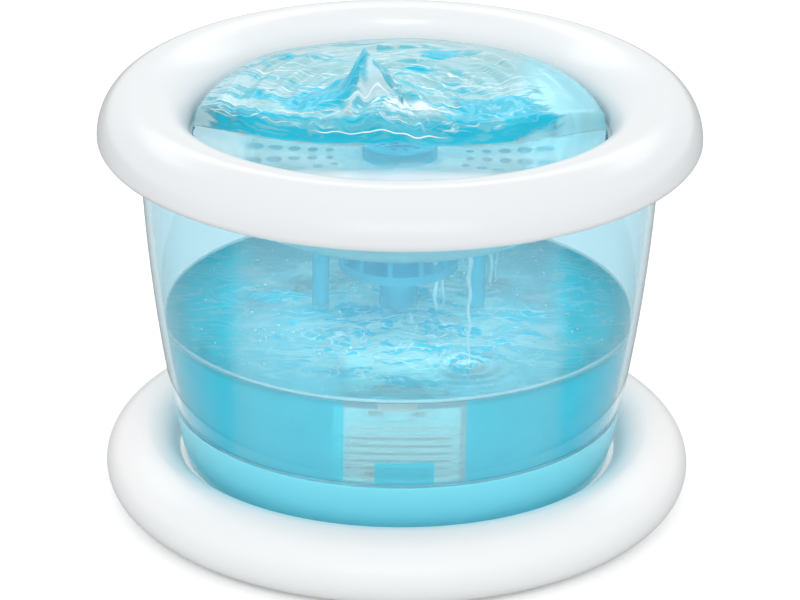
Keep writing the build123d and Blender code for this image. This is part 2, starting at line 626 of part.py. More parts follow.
def chamber_cover():
    """Plate over the impeller chamber: an inlet eye with three spokes and a boss for the bush."""
    cover = lying(PLATE_R, PLATE_FRONT_Y, HOUSING_FRONT_Y) + lying(PLUG_R, HOUSING_FRONT_Y, PLUG_BACK_Y)
    cover -= lying(PLUG_BORE_R, HOUSING_FRONT_Y, PLUG_BACK_Y + PAST)
    cover -= lying(EYE_R, HUB_FRONT_Y - PAST, PLUG_BACK_Y + PAST)
    cover += lying(HUB_R, HUB_FRONT_Y, PLATE_BACK_Y)
    for i in range(SPOKE_COUNT):
        spoke = block(SPOKE_IN_R, SPOKE_OUT_R, PLATE_FRONT_Y, PLATE_BACK_Y, -SPOKE_HALF_T, SPOKE_HALF_T)
        cover += Pos(0, 0, PUMP_AXIS_Z) * Rot(0, 360.0 * i / SPOKE_COUNT + SPOKE_START, 0) * spoke
    groove = lying(PLUG_R + PAST, *GROOVE) - lying(GROOVE_R, *GROOVE)
    return cover - groove - lying(BUSH_R, FRONT_BUSH_Y, HOUSING_FRONT_Y)


def chamber_oring():
    """Seal in the groove of the chamber cover's plug."""
    return Pos(0, RING_SEAL_Y, PUMP_AXIS_Z) * Rot(90, 0, 0) * Torus(RING_SEAL_R, RING_SEAL_SECTION_R)


def bay_pad(front, back):
    """Filter pad that fills the cover, cut out over the finger notch."""
    side = PUMP_HALF_W - COVER_WALL - PAD_PLAY
    low, high = PUMP_LOW_Z + COVER_WALL + PAD_PLAY, PUMP_HIGH_Z - COVER_WALL - PAD_PLAY
    pad = block(-side, side, front, back, low, high)
    pad = fillet(pad.edges().filter_by(Axis.Y), PAD_CORNER)
    notch = FINGER_NOTCH_HALF_W + PAD_NOTCH_PLAY
    notch_top = FINGER_NOTCH_TOP_Z + PAD_NOTCH_PLAY
    return pad - block(-notch, notch, front - PAST, back + PAST, low - PAST, notch_top)


def foam_filter():
    """Open-cell foam behind the cover's slits."""
    return bay_pad(*FOAM_Y)


def carbon_pad():
    """Fibre pad with carbon behind the foam."""
    return bay_pad(*CARBON_Y)


def filter_cover():
    """Slitted front cover of the pump, open at the back, with a finger notch at its foot."""
    cover = rounded_case(COVER_FRONT_Y, HOUSING_FRONT_Y)
    cover = fillet(cover.faces().sort_by(Axis.Y)[0].edges(), COVER_EDGE)
    cover -= rounded_case(COVER_FRONT_Y + COVER_WALL, HOUSING_FRONT_Y + PAST, COVER_WALL)
    front, inside = COVER_FRONT_Y - PAST, COVER_FRONT_Y + COVER_WALL + PAST / 2
    for i in range(SLIT_COUNT):
        z = SLIT_FIRST_Z + SLIT_PITCH * i
        half = SLIT_HALF_W - (SLIT_SHORTER[i] if i < len(SLIT_SHORTER) else 0)
        cover -= block(-half, half, front, inside, z - SLIT_H / 2, z + SLIT_H / 2)
    cover -= block(-SLOT_HALF_W, SLOT_HALF_W, front, inside, SLOT_LOW_Z, SLOT_HIGH_Z)
    return cover - block(-FINGER_NOTCH_HALF_W, FINGER_NOTCH_HALF_W, front, COVER_FRONT_Y + NOTCH_DEPTH,
                         PUMP_LOW_Z - PAST, FINGER_NOTCH_TOP_Z)


def flow_slider():
    """Knob in the cover's slot with a plate behind the wall."""
    (top_x, top_z), (low_x, low_z) = KNOB_TOP, KNOB_BOTTOM
    outline = Polyline((-top_x, top_z), (top_x, top_z), (low_x, low_z), (-low_x, low_z), close=True)
    knob_face = Plane.XZ * make_face(outline)
    knob = Pos(0, COVER_FRONT_Y - KNOB_GAP, 0) * extrude(knob_face, KNOB_T, dir=(0, -1, 0))
    back = COVER_FRONT_Y + SLIDER_BACK
    stem = block(-SLIDER_STEM_HALF_X, SLIDER_STEM_HALF_X, COVER_FRONT_Y - 2 * KNOB_GAP, back,
                 SLOT_LOW_Z + SLIDER_FIT, SLOT_HIGH_Z - SLIDER_FIT)
    plate = block(-SLIDER_PLATE_HALF_X, SLIDER_PLATE_HALF_X, COVER_FRONT_Y + COVER_WALL + KNOB_GAP, back,
                  *SLIDER_PLATE_Z)
    return knob + stem + plate


PARTS = (base_tray, rubber_feet, tank_shell, top_ring, drinking_bowl, bowl_seal, support_frame, riser_tube,
         nozzle_body, nozzle_cap, pump_housing, suction_cups, stator_core, coil_winding, potting_resin,
         cable_gland, outlet_seal, ceramic_shaft, rear_bush, front_bush, rotor_magnet, impeller,
         chamber_cover, chamber_oring, foam_filter, carbon_pad, filter_cover, flow_slider)


def main():
    """Writes every piece to parts/ in its assembled place."""
    os.makedirs("parts", exist_ok=True)
    for make in PARTS:
        export_step(make(), f"parts/{make.__name__}.step")
        print(make.__name__)


main()
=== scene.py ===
"""Pet water fountain: finished surfaces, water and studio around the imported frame.

The classes hold their sizes in millimetres. A mesh is in metres, in the frame's own axes.
"""
from __future__ import annotations

import json
import logging
import math
import random
from collections.abc import Callable, Iterable, Iterator, Sequence
from contextlib import contextmanager
from dataclasses import dataclass
from enum import Enum

import bpy
from mathutils import Matrix, Vector, noise

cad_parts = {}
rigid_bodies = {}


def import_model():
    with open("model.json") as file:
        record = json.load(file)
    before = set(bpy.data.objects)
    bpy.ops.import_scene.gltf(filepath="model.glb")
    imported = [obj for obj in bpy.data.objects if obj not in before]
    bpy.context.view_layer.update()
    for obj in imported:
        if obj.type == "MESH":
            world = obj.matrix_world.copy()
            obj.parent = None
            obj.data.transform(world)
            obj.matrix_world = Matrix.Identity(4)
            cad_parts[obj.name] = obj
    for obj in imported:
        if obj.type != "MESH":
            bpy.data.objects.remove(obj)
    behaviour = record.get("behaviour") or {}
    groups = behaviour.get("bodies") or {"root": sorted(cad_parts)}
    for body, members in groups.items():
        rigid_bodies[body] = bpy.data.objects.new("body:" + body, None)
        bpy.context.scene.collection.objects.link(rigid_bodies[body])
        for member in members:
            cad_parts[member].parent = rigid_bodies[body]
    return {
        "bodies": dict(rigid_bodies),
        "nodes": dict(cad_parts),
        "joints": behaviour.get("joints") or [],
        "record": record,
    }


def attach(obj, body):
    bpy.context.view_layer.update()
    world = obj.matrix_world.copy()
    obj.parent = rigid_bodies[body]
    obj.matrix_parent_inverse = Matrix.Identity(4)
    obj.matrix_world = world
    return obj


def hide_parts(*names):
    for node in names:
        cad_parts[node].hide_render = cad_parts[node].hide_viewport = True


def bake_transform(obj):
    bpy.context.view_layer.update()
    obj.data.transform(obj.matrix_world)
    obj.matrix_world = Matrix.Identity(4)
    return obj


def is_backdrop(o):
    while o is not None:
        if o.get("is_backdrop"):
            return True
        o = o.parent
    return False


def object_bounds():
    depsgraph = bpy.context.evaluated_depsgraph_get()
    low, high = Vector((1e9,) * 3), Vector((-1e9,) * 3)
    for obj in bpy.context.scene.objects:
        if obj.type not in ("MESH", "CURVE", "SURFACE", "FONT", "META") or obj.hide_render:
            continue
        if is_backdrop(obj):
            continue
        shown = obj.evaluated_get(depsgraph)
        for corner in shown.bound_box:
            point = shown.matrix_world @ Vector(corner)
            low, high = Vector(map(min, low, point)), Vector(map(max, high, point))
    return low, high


LOG = logging.getLogger("fountain")
MM = 0.001
FULL_TURN = 2 * math.pi
TURN_STEPS = 192         # facets round a shell
WATER_STEPS = 384       # facets round a body of water
SECTORS = 8                # a turned piece is spun in equal sectors
CUTS = 100               # rings in the free surface of water, at most 100
MERGE = 1e-6               # metres; points closer than this are one point
WATER_IOR = 1.33
STYRENE_IOR = 1.5
WATER_SHADE = "#FAFEFF"    # light that passes water in a shadow
STYRENE_SHADE = "#F5FDFE"  # and a styrene wall
FILM = 0.06                # mm of air between water and the wall that holds it

Point = tuple[float, float]
Place = tuple[float, float, float]
Oval = tuple[Point, Point]                      # middle and reach each way
Colour = tuple[float, float, float, float]


class Body(Enum):
    """Bodies of the frame that pieces ride on."""

    BASE = "base"
    TANK = "tank"
    BOWL = "bowl"
    RING = "ring"
    FOAM = "foam"
    CARBON = "carbon"


class Slot(Enum):
    """Material slots of the record."""

    WHITE_SHELL = "white_shell"
    CLEAR_BLUE = "clear_blue"
    FOAM = "foam"
    CARBON = "carbon"
    WATER = "water"


# --- modelling helpers --------------------------------------------------------------------


def mm(*values: float) -> tuple[float, ...]:
    """Turns millimetres into metres."""
    return tuple(value * MM for value in values)


def deselect() -> None:
    """Leaves nothing selected, so that an operator works on one piece alone."""
    if bpy.context.object and bpy.context.object.mode != "OBJECT":
        bpy.ops.object.mode_set(mode="OBJECT")
    bpy.ops.object.select_all(action="DESELECT")


def only(piece: bpy.types.Object) -> None:
    """Selects one object and makes it the active one."""
    deselect()
    piece.select_set(True)
    bpy.context.view_layer.objects.active = piece


@contextmanager
def editing(piece: bpy.types.Object) -> Iterator[None]:
    """Edit mode on one object, with all of it selected."""
    only(piece)
    bpy.ops.object.mode_set(mode="EDIT")
    bpy.ops.mesh.select_mode(type="VERT")
    bpy.ops.mesh.select_all(action="SELECT")
    yield
    bpy.ops.object.mode_set(mode="OBJECT")


def settle(piece: bpy.types.Object, name: str, smooth_angle: float = 40.0) -> bpy.types.Object:
    """Names a piece, puts its place into its mesh and shades it.

    Args:
        piece: The finished mesh object.
        name: Its name.
        smooth_angle: Edges sharper than this stay sharp, in degrees.

    Returns:
        The same object.
    """
    only(piece)
    piece.name = name
    piece.data.name = name
    bpy.ops.object.transform_apply(location=True, rotation=True, scale=True)
    bpy.ops.object.shade_smooth_by_angle(angle=math.radians(smooth_angle))
    return piece


def joined(pieces: Sequence[bpy.types.Object]) -> bpy.types.Object:
    """Joins meshes into the first one."""
    deselect()
    for piece in pieces:
        piece.select_set(True)
    bpy.context.view_layer.objects.active = pieces[0]
    if len(pieces) > 1:
        bpy.ops.object.join()
    return bpy.context.object


def carved(piece: bpy.types.Object, tool: bpy.types.Object, how: str) -> bpy.types.Object:
    """Cuts, joins or trims a piece with another mesh, which is used up.

    Args:
        piece: The mesh that stays.
        tool: The mesh that works on it.
        how: DIFFERENCE, UNION or INTERSECT.

    Returns:
        The piece.
    """
    only(piece)
    modifier = piece.modifiers.new("carve", "BOOLEAN")
    modifier.operation = how
    modifier.solver = "EXACT"
    modifier.object = tool
    bpy.ops.object.modifier_apply(modifier=modifier.name)
    bpy.data.objects.remove(tool)
    return piece


def turned(outline: Sequence[Point], steps: int = TURN_STEPS, cuts: int = 0) -> bpy.types.Object:
    """Spins a closed outline round the upright axis.

    Args:
        outline: Corners as (radius, height) in mm, in order; the last joins the first.
        steps: Number of facets in a full turn.
        cuts: Number of even cuts in the outline's first side.

    Returns:
        A closed mesh with its faces outwards.
    """
    deselect()
    here = outline[0]
    bpy.ops.mesh.primitive_plane_add(size=MM, location=mm(here[0], 0, here[1]))
    piece = bpy.context.object
    with editing(piece):
        bpy.ops.mesh.merge(type="CENTER")
        closed = max(outline[0][0], outline[-1][0]) > 0
        run = list(outline[1:]) + [outline[0]] * closed
        if cuts:
            step = mm(run[0][0] - here[0], 0, run[0][1] - here[1])
            bpy.ops.mesh.extrude_region_move(TRANSFORM_OT_translate={"value": step})
            bpy.ops.mesh.select_all(action="SELECT")
            bpy.ops.mesh.subdivide(number_cuts=cuts)
            bpy.ops.mesh.select_all(action="DESELECT")
            bpy.ops.object.mode_set(mode="OBJECT")
            max(piece.data.vertices, key=lambda vertex: vertex.co.length).select = True
            bpy.ops.object.mode_set(mode="EDIT")
            here = run.pop(0)
        for corner in run:
            step = mm(corner[0] - here[0], 0, corner[1] - here[1])
            bpy.ops.mesh.extrude_region_move(TRANSFORM_OT_translate={"value": step})
            here = corner
        bpy.ops.mesh.select_all(action="SELECT")
        part = FULL_TURN / SECTORS
        middle = {"center": (0, 0, 0), "axis": (0, 0, 1)}
        bpy.ops.mesh.spin(steps=steps // SECTORS, angle=part, **middle)
        bpy.ops.mesh.select_all(action="SELECT")
        bpy.ops.mesh.spin(steps=SECTORS - 1, angle=FULL_TURN - part, dupli=True, **middle)
        bpy.ops.mesh.select_all(action="SELECT")
        bpy.ops.mesh.remove_doubles(threshold=MERGE)
        bpy.ops.mesh.normals_make_consistent(inside=False)
    return piece


def post(radius: float, low: float, high: float, x: float = 0, y: float = 0,
         sides: int = 32) -> bpy.types.Object:
    """Upright closed cylinder between two heights, in mm, used as a tool or a start."""
    deselect()
    bpy.ops.mesh.primitive_cylinder_add(vertices=sides, radius=radius * MM, depth=(high - low) * MM,
                                        location=mm(x, y, (low + high) / 2))
    return bpy.context.object


def slab(low: Place, high: Place, turn: float = 0) -> bpy.types.Object:
    """Block between two corners in mm, then turned about the upright axis by degrees."""
    deselect()
    centre = [(a + b) / 2 for a, b in zip(low, high)]
    bpy.ops.mesh.primitive_cube_add(size=MM, location=mm(*centre))
    block = bpy.context.object
    block.scale = [b - a for a, b in zip(low, high)]
    bpy.ops.object.transform_apply(location=True, rotation=True, scale=True)
    block.rotation_euler.z = math.radians(turn)
    bpy.ops.object.transform_apply(location=True, rotation=True, scale=True)
    return block


# --- outlines -----------------------------------------------------------------------------


def oval_run(centre: Point, reach: float, rise: float, start: float, end: float, count: int) -> list[Point]:
    """Points along part of an ellipse, between two angles in degrees."""
    angles = (math.radians(start + (end - start) * i / count) for i in range(count + 1))
    return [(centre[0] + reach * math.cos(a), centre[1] + rise * math.sin(a)) for a in angles]


def bow(first: Point, middle: Point, last: Point, count: int) -> list[Point]:
    """Points along the circle through three points."""
    (ax, ay), (bx, by), (cx, cy) = first, middle, last
    d = 2 * (ax * (by - cy) + bx * (cy - ay) + cx * (ay - by))
    a2, b2, c2 = ax * ax + ay * ay, bx * bx + by * by, cx * cx + cy * cy
    ux = (a2 * (by - cy) + b2 * (cy - ay) + c2 * (ay - by)) / d
    uy = (a2 * (cx - bx) + b2 * (ax - cx) + c2 * (bx - ax)) / d
    radius = math.hypot(ax - ux, ay - uy)
    start, end = math.atan2(ay - uy, ax - ux), math.atan2(cy - uy, cx - ux)
    turn = (end - start + math.pi) % FULL_TURN - math.pi
    angles = (start + turn * i / count for i in range(count + 1))
    return [(ux + radius * math.cos(a), uy + radius * math.sin(a)) for a in angles]


def rounded(before: Point, corner: Point, after: Point, radius: float, count: int = 5) -> list[Point]:
    """Points of a small round at a corner of an outline."""
    here = Vector(corner)
    to_a, to_b = Vector(before) - here, Vector(after) - here
    reach = min(radius, to_a.length * 0.45, to_b.length * 0.45)
    start, end = here + to_a.normalized() * reach, here + to_b.normalized() * reach
    points = []
    for i in range(count + 1):
        t = i / count
        point = start * (1 - t) ** 2 + here * 2 * t * (1 - t) + end * t * t
        points.append((point.x, point.y))
    return points


def eased(corners: Sequence[tuple[float, float, float]]) -> list[Point]:
    """Outline through corners given as (radius, height, round), where a round of 0 stays sharp."""
    points: list[Point] = []
    count = len(corners)
    for i, (r, z, round_r) in enumerate(corners):
        if round_r:
            points += rounded(corners[i - 1][:2], (r, z), corners[(i + 1) % count][:2], round_r)
        else:
            points.append((r, z))
    return points


def sharp(points: Iterable[Point]) -> list[tuple[float, float, float]]:
    """Corners with no round, for eased()."""
    return [(r, z, 0.0) for r, z in points]


def smoothstep(low: float, high: float, value: float) -> float:
    """0 below low, 1 above high and a soft step between them."""
    t = min(1.0, max(0.0, (value - low) / (high - low)))
    return t * t * (3 - 2 * t)


def circle_places(count: int, radius: float, start: float = 0.0) -> Iterator[Point]:
    """Evenly spaced places on a circle, in mm."""
    for i in range(count):
        angle = math.radians(start) + FULL_TURN * i / count
        yield radius * math.cos(angle), radius * math.sin(angle)


# --- materials ----------------------------------------------------------------------------


def linear(code: str) -> Colour:
    """Turns an sRGB hex code such as #F2F4F5 into a linear colour."""
    values = [int(code[i:i + 2], 16) / 255 for i in (1, 3, 5)]
    red, green, blue = (v / 12.92 if v <= 0.04045 else ((v + 0.055) / 1.055) ** 2.4 for v in values)
    return red, green, blue, 1.0


def add_node(tree: bpy.types.NodeTree, kind: str, settings: dict[str | int, object] | None = None,
             links: dict[str | int, bpy.types.NodeSocket | Value] | None = None) -> bpy.types.Node:
    """Adds a node with its settings and links.

    Args:
        tree: Node tree that the node goes into.
        kind: Blender's type name.
        settings: Values by input name or place, or by property name where no input has it.
        links: Sockets or values to join to inputs, by input name or place.

    Returns:
        The new node.
    """
    made = tree.nodes.new(kind)
    for key, value in (settings or {}).items():
        if isinstance(key, int) or key in made.inputs:
            made.inputs[key].default_value = value
        else:
            setattr(made, key, value)
    for key, source in (links or {}).items():
        tree.links.new(source.socket if isinstance(source, Value) else source, made.inputs[key])
    return made


def new_material(name: str) -> tuple[bpy.types.Material, bpy.types.NodeTree]:
    """An empty node material and its tree."""
    material = bpy.data.materials.new(name)
    material.use_nodes = True
    material.node_tree.nodes.clear()
    return material, material.node_tree


def see_through(tree: bpy.types.NodeTree, shader: bpy.types.Node, shade: str) -> bpy.types.Node:
    """Ends a clear material: a shadow ray passes as through tinted film, so that pieces behind stay lit.

    Args:
        tree: The material's tree.
        shader: What is seen of the surface.
        shade: Colour of the light that passes.

    Returns:
        The output node.
    """
    light = add_node(tree, "ShaderNodeLightPath")
    film = add_node(tree, "ShaderNodeBsdfTransparent", {"Color": linear(shade)})
    mix = add_node(tree, "ShaderNodeMixShader", {},
                   {0: light.outputs["Is Shadow Ray"], 1: shader.outputs[0], 2: film.outputs[0]})
    return add_node(tree, "ShaderNodeOutputMaterial", {}, {"Surface": mix.outputs[0]})


def object_place(tree: bpy.types.NodeTree, size_mm: float) -> bpy.types.NodeSocket:
    """Object coordinates scaled so that one unit is size_mm."""
    place = add_node(tree, "ShaderNodeTexCoord")
    scale = 1 / (size_mm * MM)
    mapping = add_node(tree, "ShaderNodeMapping", {"Scale": (scale, scale, scale)},
                       {"Vector": place.outputs["Object"]})
    return mapping.outputs[0]


class Value:
    """A number that nodes work out, so that a mask is written as plain arithmetic."""

    def __init__(self, graph: Graph, socket: bpy.types.NodeSocket) -> None:
        """Holds the socket that gives the number."""
        self.graph = graph
        self.socket = socket

    def __add__(self, other: Value | float) -> Value:
        """Sum."""
        return self.graph.math("ADD", self, other)

    def __sub__(self, other: Value | float) -> Value:
        """Difference."""
        return self.graph.math("SUBTRACT", self, other)

    def __rsub__(self, other: float) -> Value:
        """A plain number less this one."""
        return self.graph.math("SUBTRACT", other, self)

    def __mul__(self, other: Value | float) -> Value:
        """Product."""
        return self.graph.math("MULTIPLY", self, other)

    def __truediv__(self, other: float) -> Value:
        """Quotient."""
        return self.graph.math("DIVIDE", self, other)

    def __pow__(self, other: float) -> Value:
        """Power."""
        return self.graph.math("POWER", self, other)

    def __abs__(self) -> Value:
        """Size without its sign."""
        return self.graph.math("ABSOLUTE", self)

    def step(self, low: float, high: float) -> Value:
        """Soft step from 0 at low to 1 at high; falls instead if low is the larger."""
        ends = (low, high, 0.0, 1.0) if low < high else (high, low, 1.0, 0.0)
        settings = dict(zip(("From Min", "From Max", "To Min", "To Max"), ends))
        made = add_node(self.graph.tree, "ShaderNodeMapRange",
                        {"interpolation_type": "SMOOTHSTEP"} | settings, {"Value": self})
        return Value(self.graph, made.outputs[0])

    def close_to(self, level: float, wide: float, soft: float) -> Value:
        """1 where the number is close to a level, for thin lines."""
        return abs(self - level).step(wide + soft, wide)


@dataclass(frozen=True)
class Ripples:
    """A set of wavering lines; a thin of 0.95 leaves hair lines and 0.7 leaves streaks."""

    period: float                      # mm between lines
    sway: float                        # how far they stray, in periods
    along: float                       # mm along a line over which it strays
    shift: float                       # picks another pattern
    thin: float
    strength: float = 1.0


class Graph:
    """Places and patterns for the masks of one node tree, with lengths in mm."""

    def __init__(self, tree: bpy.types.NodeTree) -> None:
        """Starts with object coordinates in mm."""
        self.tree = tree
        self.at = object_place(tree, 1.0)
        split = add_node(tree, "ShaderNodeSeparateXYZ", {}, {0: self.at})
        self.x, self.y, self.z = (Value(self, socket) for socket in split.outputs)

    def math(self, how: str, *values: Value | float) -> Value:
        """One step of arithmetic."""
        plain = {i: value for i, value in enumerate(values) if not isinstance(value, Value)}
        linked = {i: value for i, value in enumerate(values) if isinstance(value, Value)}
        made = add_node(self.tree, "ShaderNodeMath", {"operation": how} | plain, linked)
        return Value(self, made.outputs[0])

    def most(self, *values: Value) -> Value:
        """Largest of several numbers."""
        total = values[0]
        for value in values[1:]:
            total = self.math("MAXIMUM", total, value)
        return total

    def facing(self) -> Value:
        """1 on the front half of the fountain and 0 on the back half."""
        return self.y.step(5, -5)

    def oval(self, centre: Point, reach: Point) -> Value:
        """Distance from the middle of an oval, 1 on its edge."""
        dx, dy = ((place - middle) * (1 / size)
                  for place, middle, size in zip((self.x, self.y), centre, reach))
        return self.math("SQRT", dx * dx + dy * dy)

    def radius(self, centre: Point = (0.0, 0.0)) -> Value:
        """Distance from an upright line."""
        return self.oval(centre, (1.0, 1.0))

    def pattern(self, place: bpy.types.NodeSocket, detail: float, warp: float) -> Value:
        """Noise at a place that is measured in grains."""
        made = add_node(self.tree, "ShaderNodeTexNoise", {"Scale": 1.0, "Detail": detail, "Distortion": warp},
                        {"Vector": place})
        return Value(self, made.outputs["Fac"])

    def noise(self, size: Place, detail: float = 2.0, warp: float = 0.0, shift: float = 0.0) -> Value:
        """Noise with its grain size in mm along each axis."""
        scale = tuple(1 / v for v in size)
        place = add_node(self.tree, "ShaderNodeMapping", {"Scale": scale, "Location": (shift, shift, shift)},
                         {"Vector": self.at})
        return self.pattern(place.outputs[0], detail, warp)

    def bands(self, depth: Value, along: float, across: float, detail: float = 3.0, warp: float = 0.6,
              shift: float = 0.0) -> Value:
        """Noise drawn out along X and stacked by a depth, with both reaches in mm."""
        place = add_node(self.tree, "ShaderNodeCombineXYZ", {2: shift},
                         {0: self.x / along, 1: depth / across})
        return self.pattern(place.outputs[0], detail, warp)

    def ripple(self, depth: Value, kind: Ripples) -> Value:
        """Wavering lines that follow a depth."""
        drift = self.bands(depth, kind.along, kind.period * 2.2, 2.0, 0.4, kind.shift)
        wave = self.math("SINE", (depth / kind.period + drift * kind.sway) * FULL_TURN)
        keep = self.bands(depth, kind.along * 0.8, kind.period * 1.6, 1.0, 0.3, kind.shift + 4.0)
        line = wave.step(kind.thin, min(0.999, kind.thin + 0.12))
        return line * keep.step(0.44, 0.56) * kind.strength

    def blend(self, factor: Value, low: str | bpy.types.NodeSocket,
              high: str | bpy.types.NodeSocket) -> bpy.types.NodeSocket:
        """Mixes two colours, given as hex codes or sockets."""
        ends = {6: low, 7: high}
        plain = {i: linear(colour) for i, colour in ends.items() if isinstance(colour, str)}
        linked = {i: colour for i, colour in ends.items() if not isinstance(colour, str)}
        made = add_node(self.tree, "ShaderNodeMix", {"data_type": "RGBA"} | plain, {0: factor} | linked)
        return made.outputs[2]

    def film(self, colour: bpy.types.NodeSocket, alpha: Value, roughness: float, gloss: float = 0.5) -> None:
        """Ends the material of a thin film on water."""
        shader = add_node(self.tree, "ShaderNodeBsdfPrincipled",
                          {"Roughness": roughness, "IOR": WATER_IOR, "Specular IOR Level": gloss},
                          {"Base Color": colour, "Alpha": alpha})
        see_through(self.tree, shader, "#FFFFFF")


@dataclass(frozen=True)
class Moulded:
    """Injection-moulded plastic, rubber or ceramic: one colour with a faint surface grain.

    The grain is what is left of the mould's surface. It breaks highlights up a little, and the
    roughness wanders by a few hundredths where the piece has been handled.
    """

    name: str
    colour: str
    roughness: float
    grain_mm: float = 1.2
    grain_depth: float = 0.02
    ior: float = 1.5
    metallic: float = 0.0
    mottle: float = 0.03

    def build(self) -> bpy.types.Material:
        """Makes the material."""
        material, tree = new_material(self.name)
        place = object_place(tree, self.grain_mm)
        grain = add_node(tree, "ShaderNodeTexNoise", {"Scale": 1.0, "Detail": 3.0}, {"Vector": place})
        wander = add_node(tree, "ShaderNodeTexNoise", {"Scale": 0.06, "Detail": 4.0}, {"Vector": place})
        dark = tuple(c * (1 - self.mottle) for c in linear(self.colour)[:3]) + (1.0,)
        tint = add_node(tree, "ShaderNodeMix", {"data_type": "RGBA", 6: dark, 7: linear(self.colour)},
                        {0: wander.outputs["Fac"]})
        rough = add_node(tree, "ShaderNodeMapRange", {"To Min": max(0.02, self.roughness - 0.04),
                                                      "To Max": self.roughness + 0.06},
                         {"Value": wander.outputs["Fac"]})
        bump = add_node(tree, "ShaderNodeBump", {"Strength": 0.35, "Distance": self.grain_depth * MM},
                        {"Height": grain.outputs["Fac"]})
        shader = add_node(tree, "ShaderNodeBsdfPrincipled", {"Metallic": self.metallic, "IOR": self.ior},
                          {"Base Color": tint.outputs[2], "Roughness": rough.outputs[0],
                           "Normal": bump.outputs[0]})
        add_node(tree, "ShaderNodeOutputMaterial", {}, {"Surface": shader.outputs[0]})
        return material


@dataclass(frozen=True)
class Clear:
    """Clear plastic or water: light goes through and takes the colour of its way through."""

    name: str
    tint: str
    ior: float
    shade: str
    absorb: Place = (0.0, 0.0, 0.0)    # per metre, in red, green and blue
    sheen: str = "#FFFFFF"             # colour of its mirror image
    milk: float = 0.0                  # share of the light that is scattered
    glare: Point | None = None         # half width of the front where the painted reflection is full, and its edge
    painted_reflection_side: str = "#3A9FB8"        # colour of the painted reflection at the sides

    def build(self) -> bpy.types.Material:
        """Makes the material."""
        material, tree = new_material(self.name)
        shader = add_node(tree, "ShaderNodeBsdfPrincipled",
                          {"Base Color": linear(self.tint), "Roughness": 0.0, "IOR": self.ior,
                           "Transmission Weight": 1.0 - self.milk, "Specular Tint": linear(self.sheen)})
        # painted reflection: the specular tint is full on the front and a darker blue at the sides
        if self.glare:
            g = Graph(tree)
            half, edge = self.glare
            front = abs(g.x).step(half + edge, half - edge) * g.facing()
            tree.links.new(g.blend(front, self.painted_reflection_side, self.sheen), shader.inputs["Specular Tint"])
        output = see_through(tree, shader, self.shade)
        density = max(self.absorb)
        if density:
            kept = tuple(1 - a / density for a in self.absorb) + (1.0,)
            volume = add_node(tree, "ShaderNodeVolumeAbsorption", {"Color": kept, "Density": density})
            tree.links.new(volume.outputs[0], output.inputs["Volume"])
        return material


@dataclass(frozen=True)
class ThinClear:
    """Thin clear moulding: a pale film with a gloss, which fades out below the water line."""

    name: str
    colour: str
    body: float                        # how much of it is seen in air
    wet: float                         # how much of it is seen in water
    wet_z: Point = (75.0, 79.0)

    def build(self) -> bpy.types.Material:
        """Makes the material."""
        material, tree = new_material(self.name)
        shown = add_node(tree, "ShaderNodeMapRange", {"From Min": self.wet_z[0], "From Max": self.wet_z[1],
                                                      "To Min": self.wet, "To Max": self.body},
                         {"Value": Graph(tree).z})
        shader = add_node(tree, "ShaderNodeBsdfPrincipled",
                          {"Base Color": linear(self.colour), "Roughness": 0.08, "IOR": 1.4},
                          {"Alpha": shown.outputs[0]})
        see_through(tree, shader, "#EAF8FB")
        return material


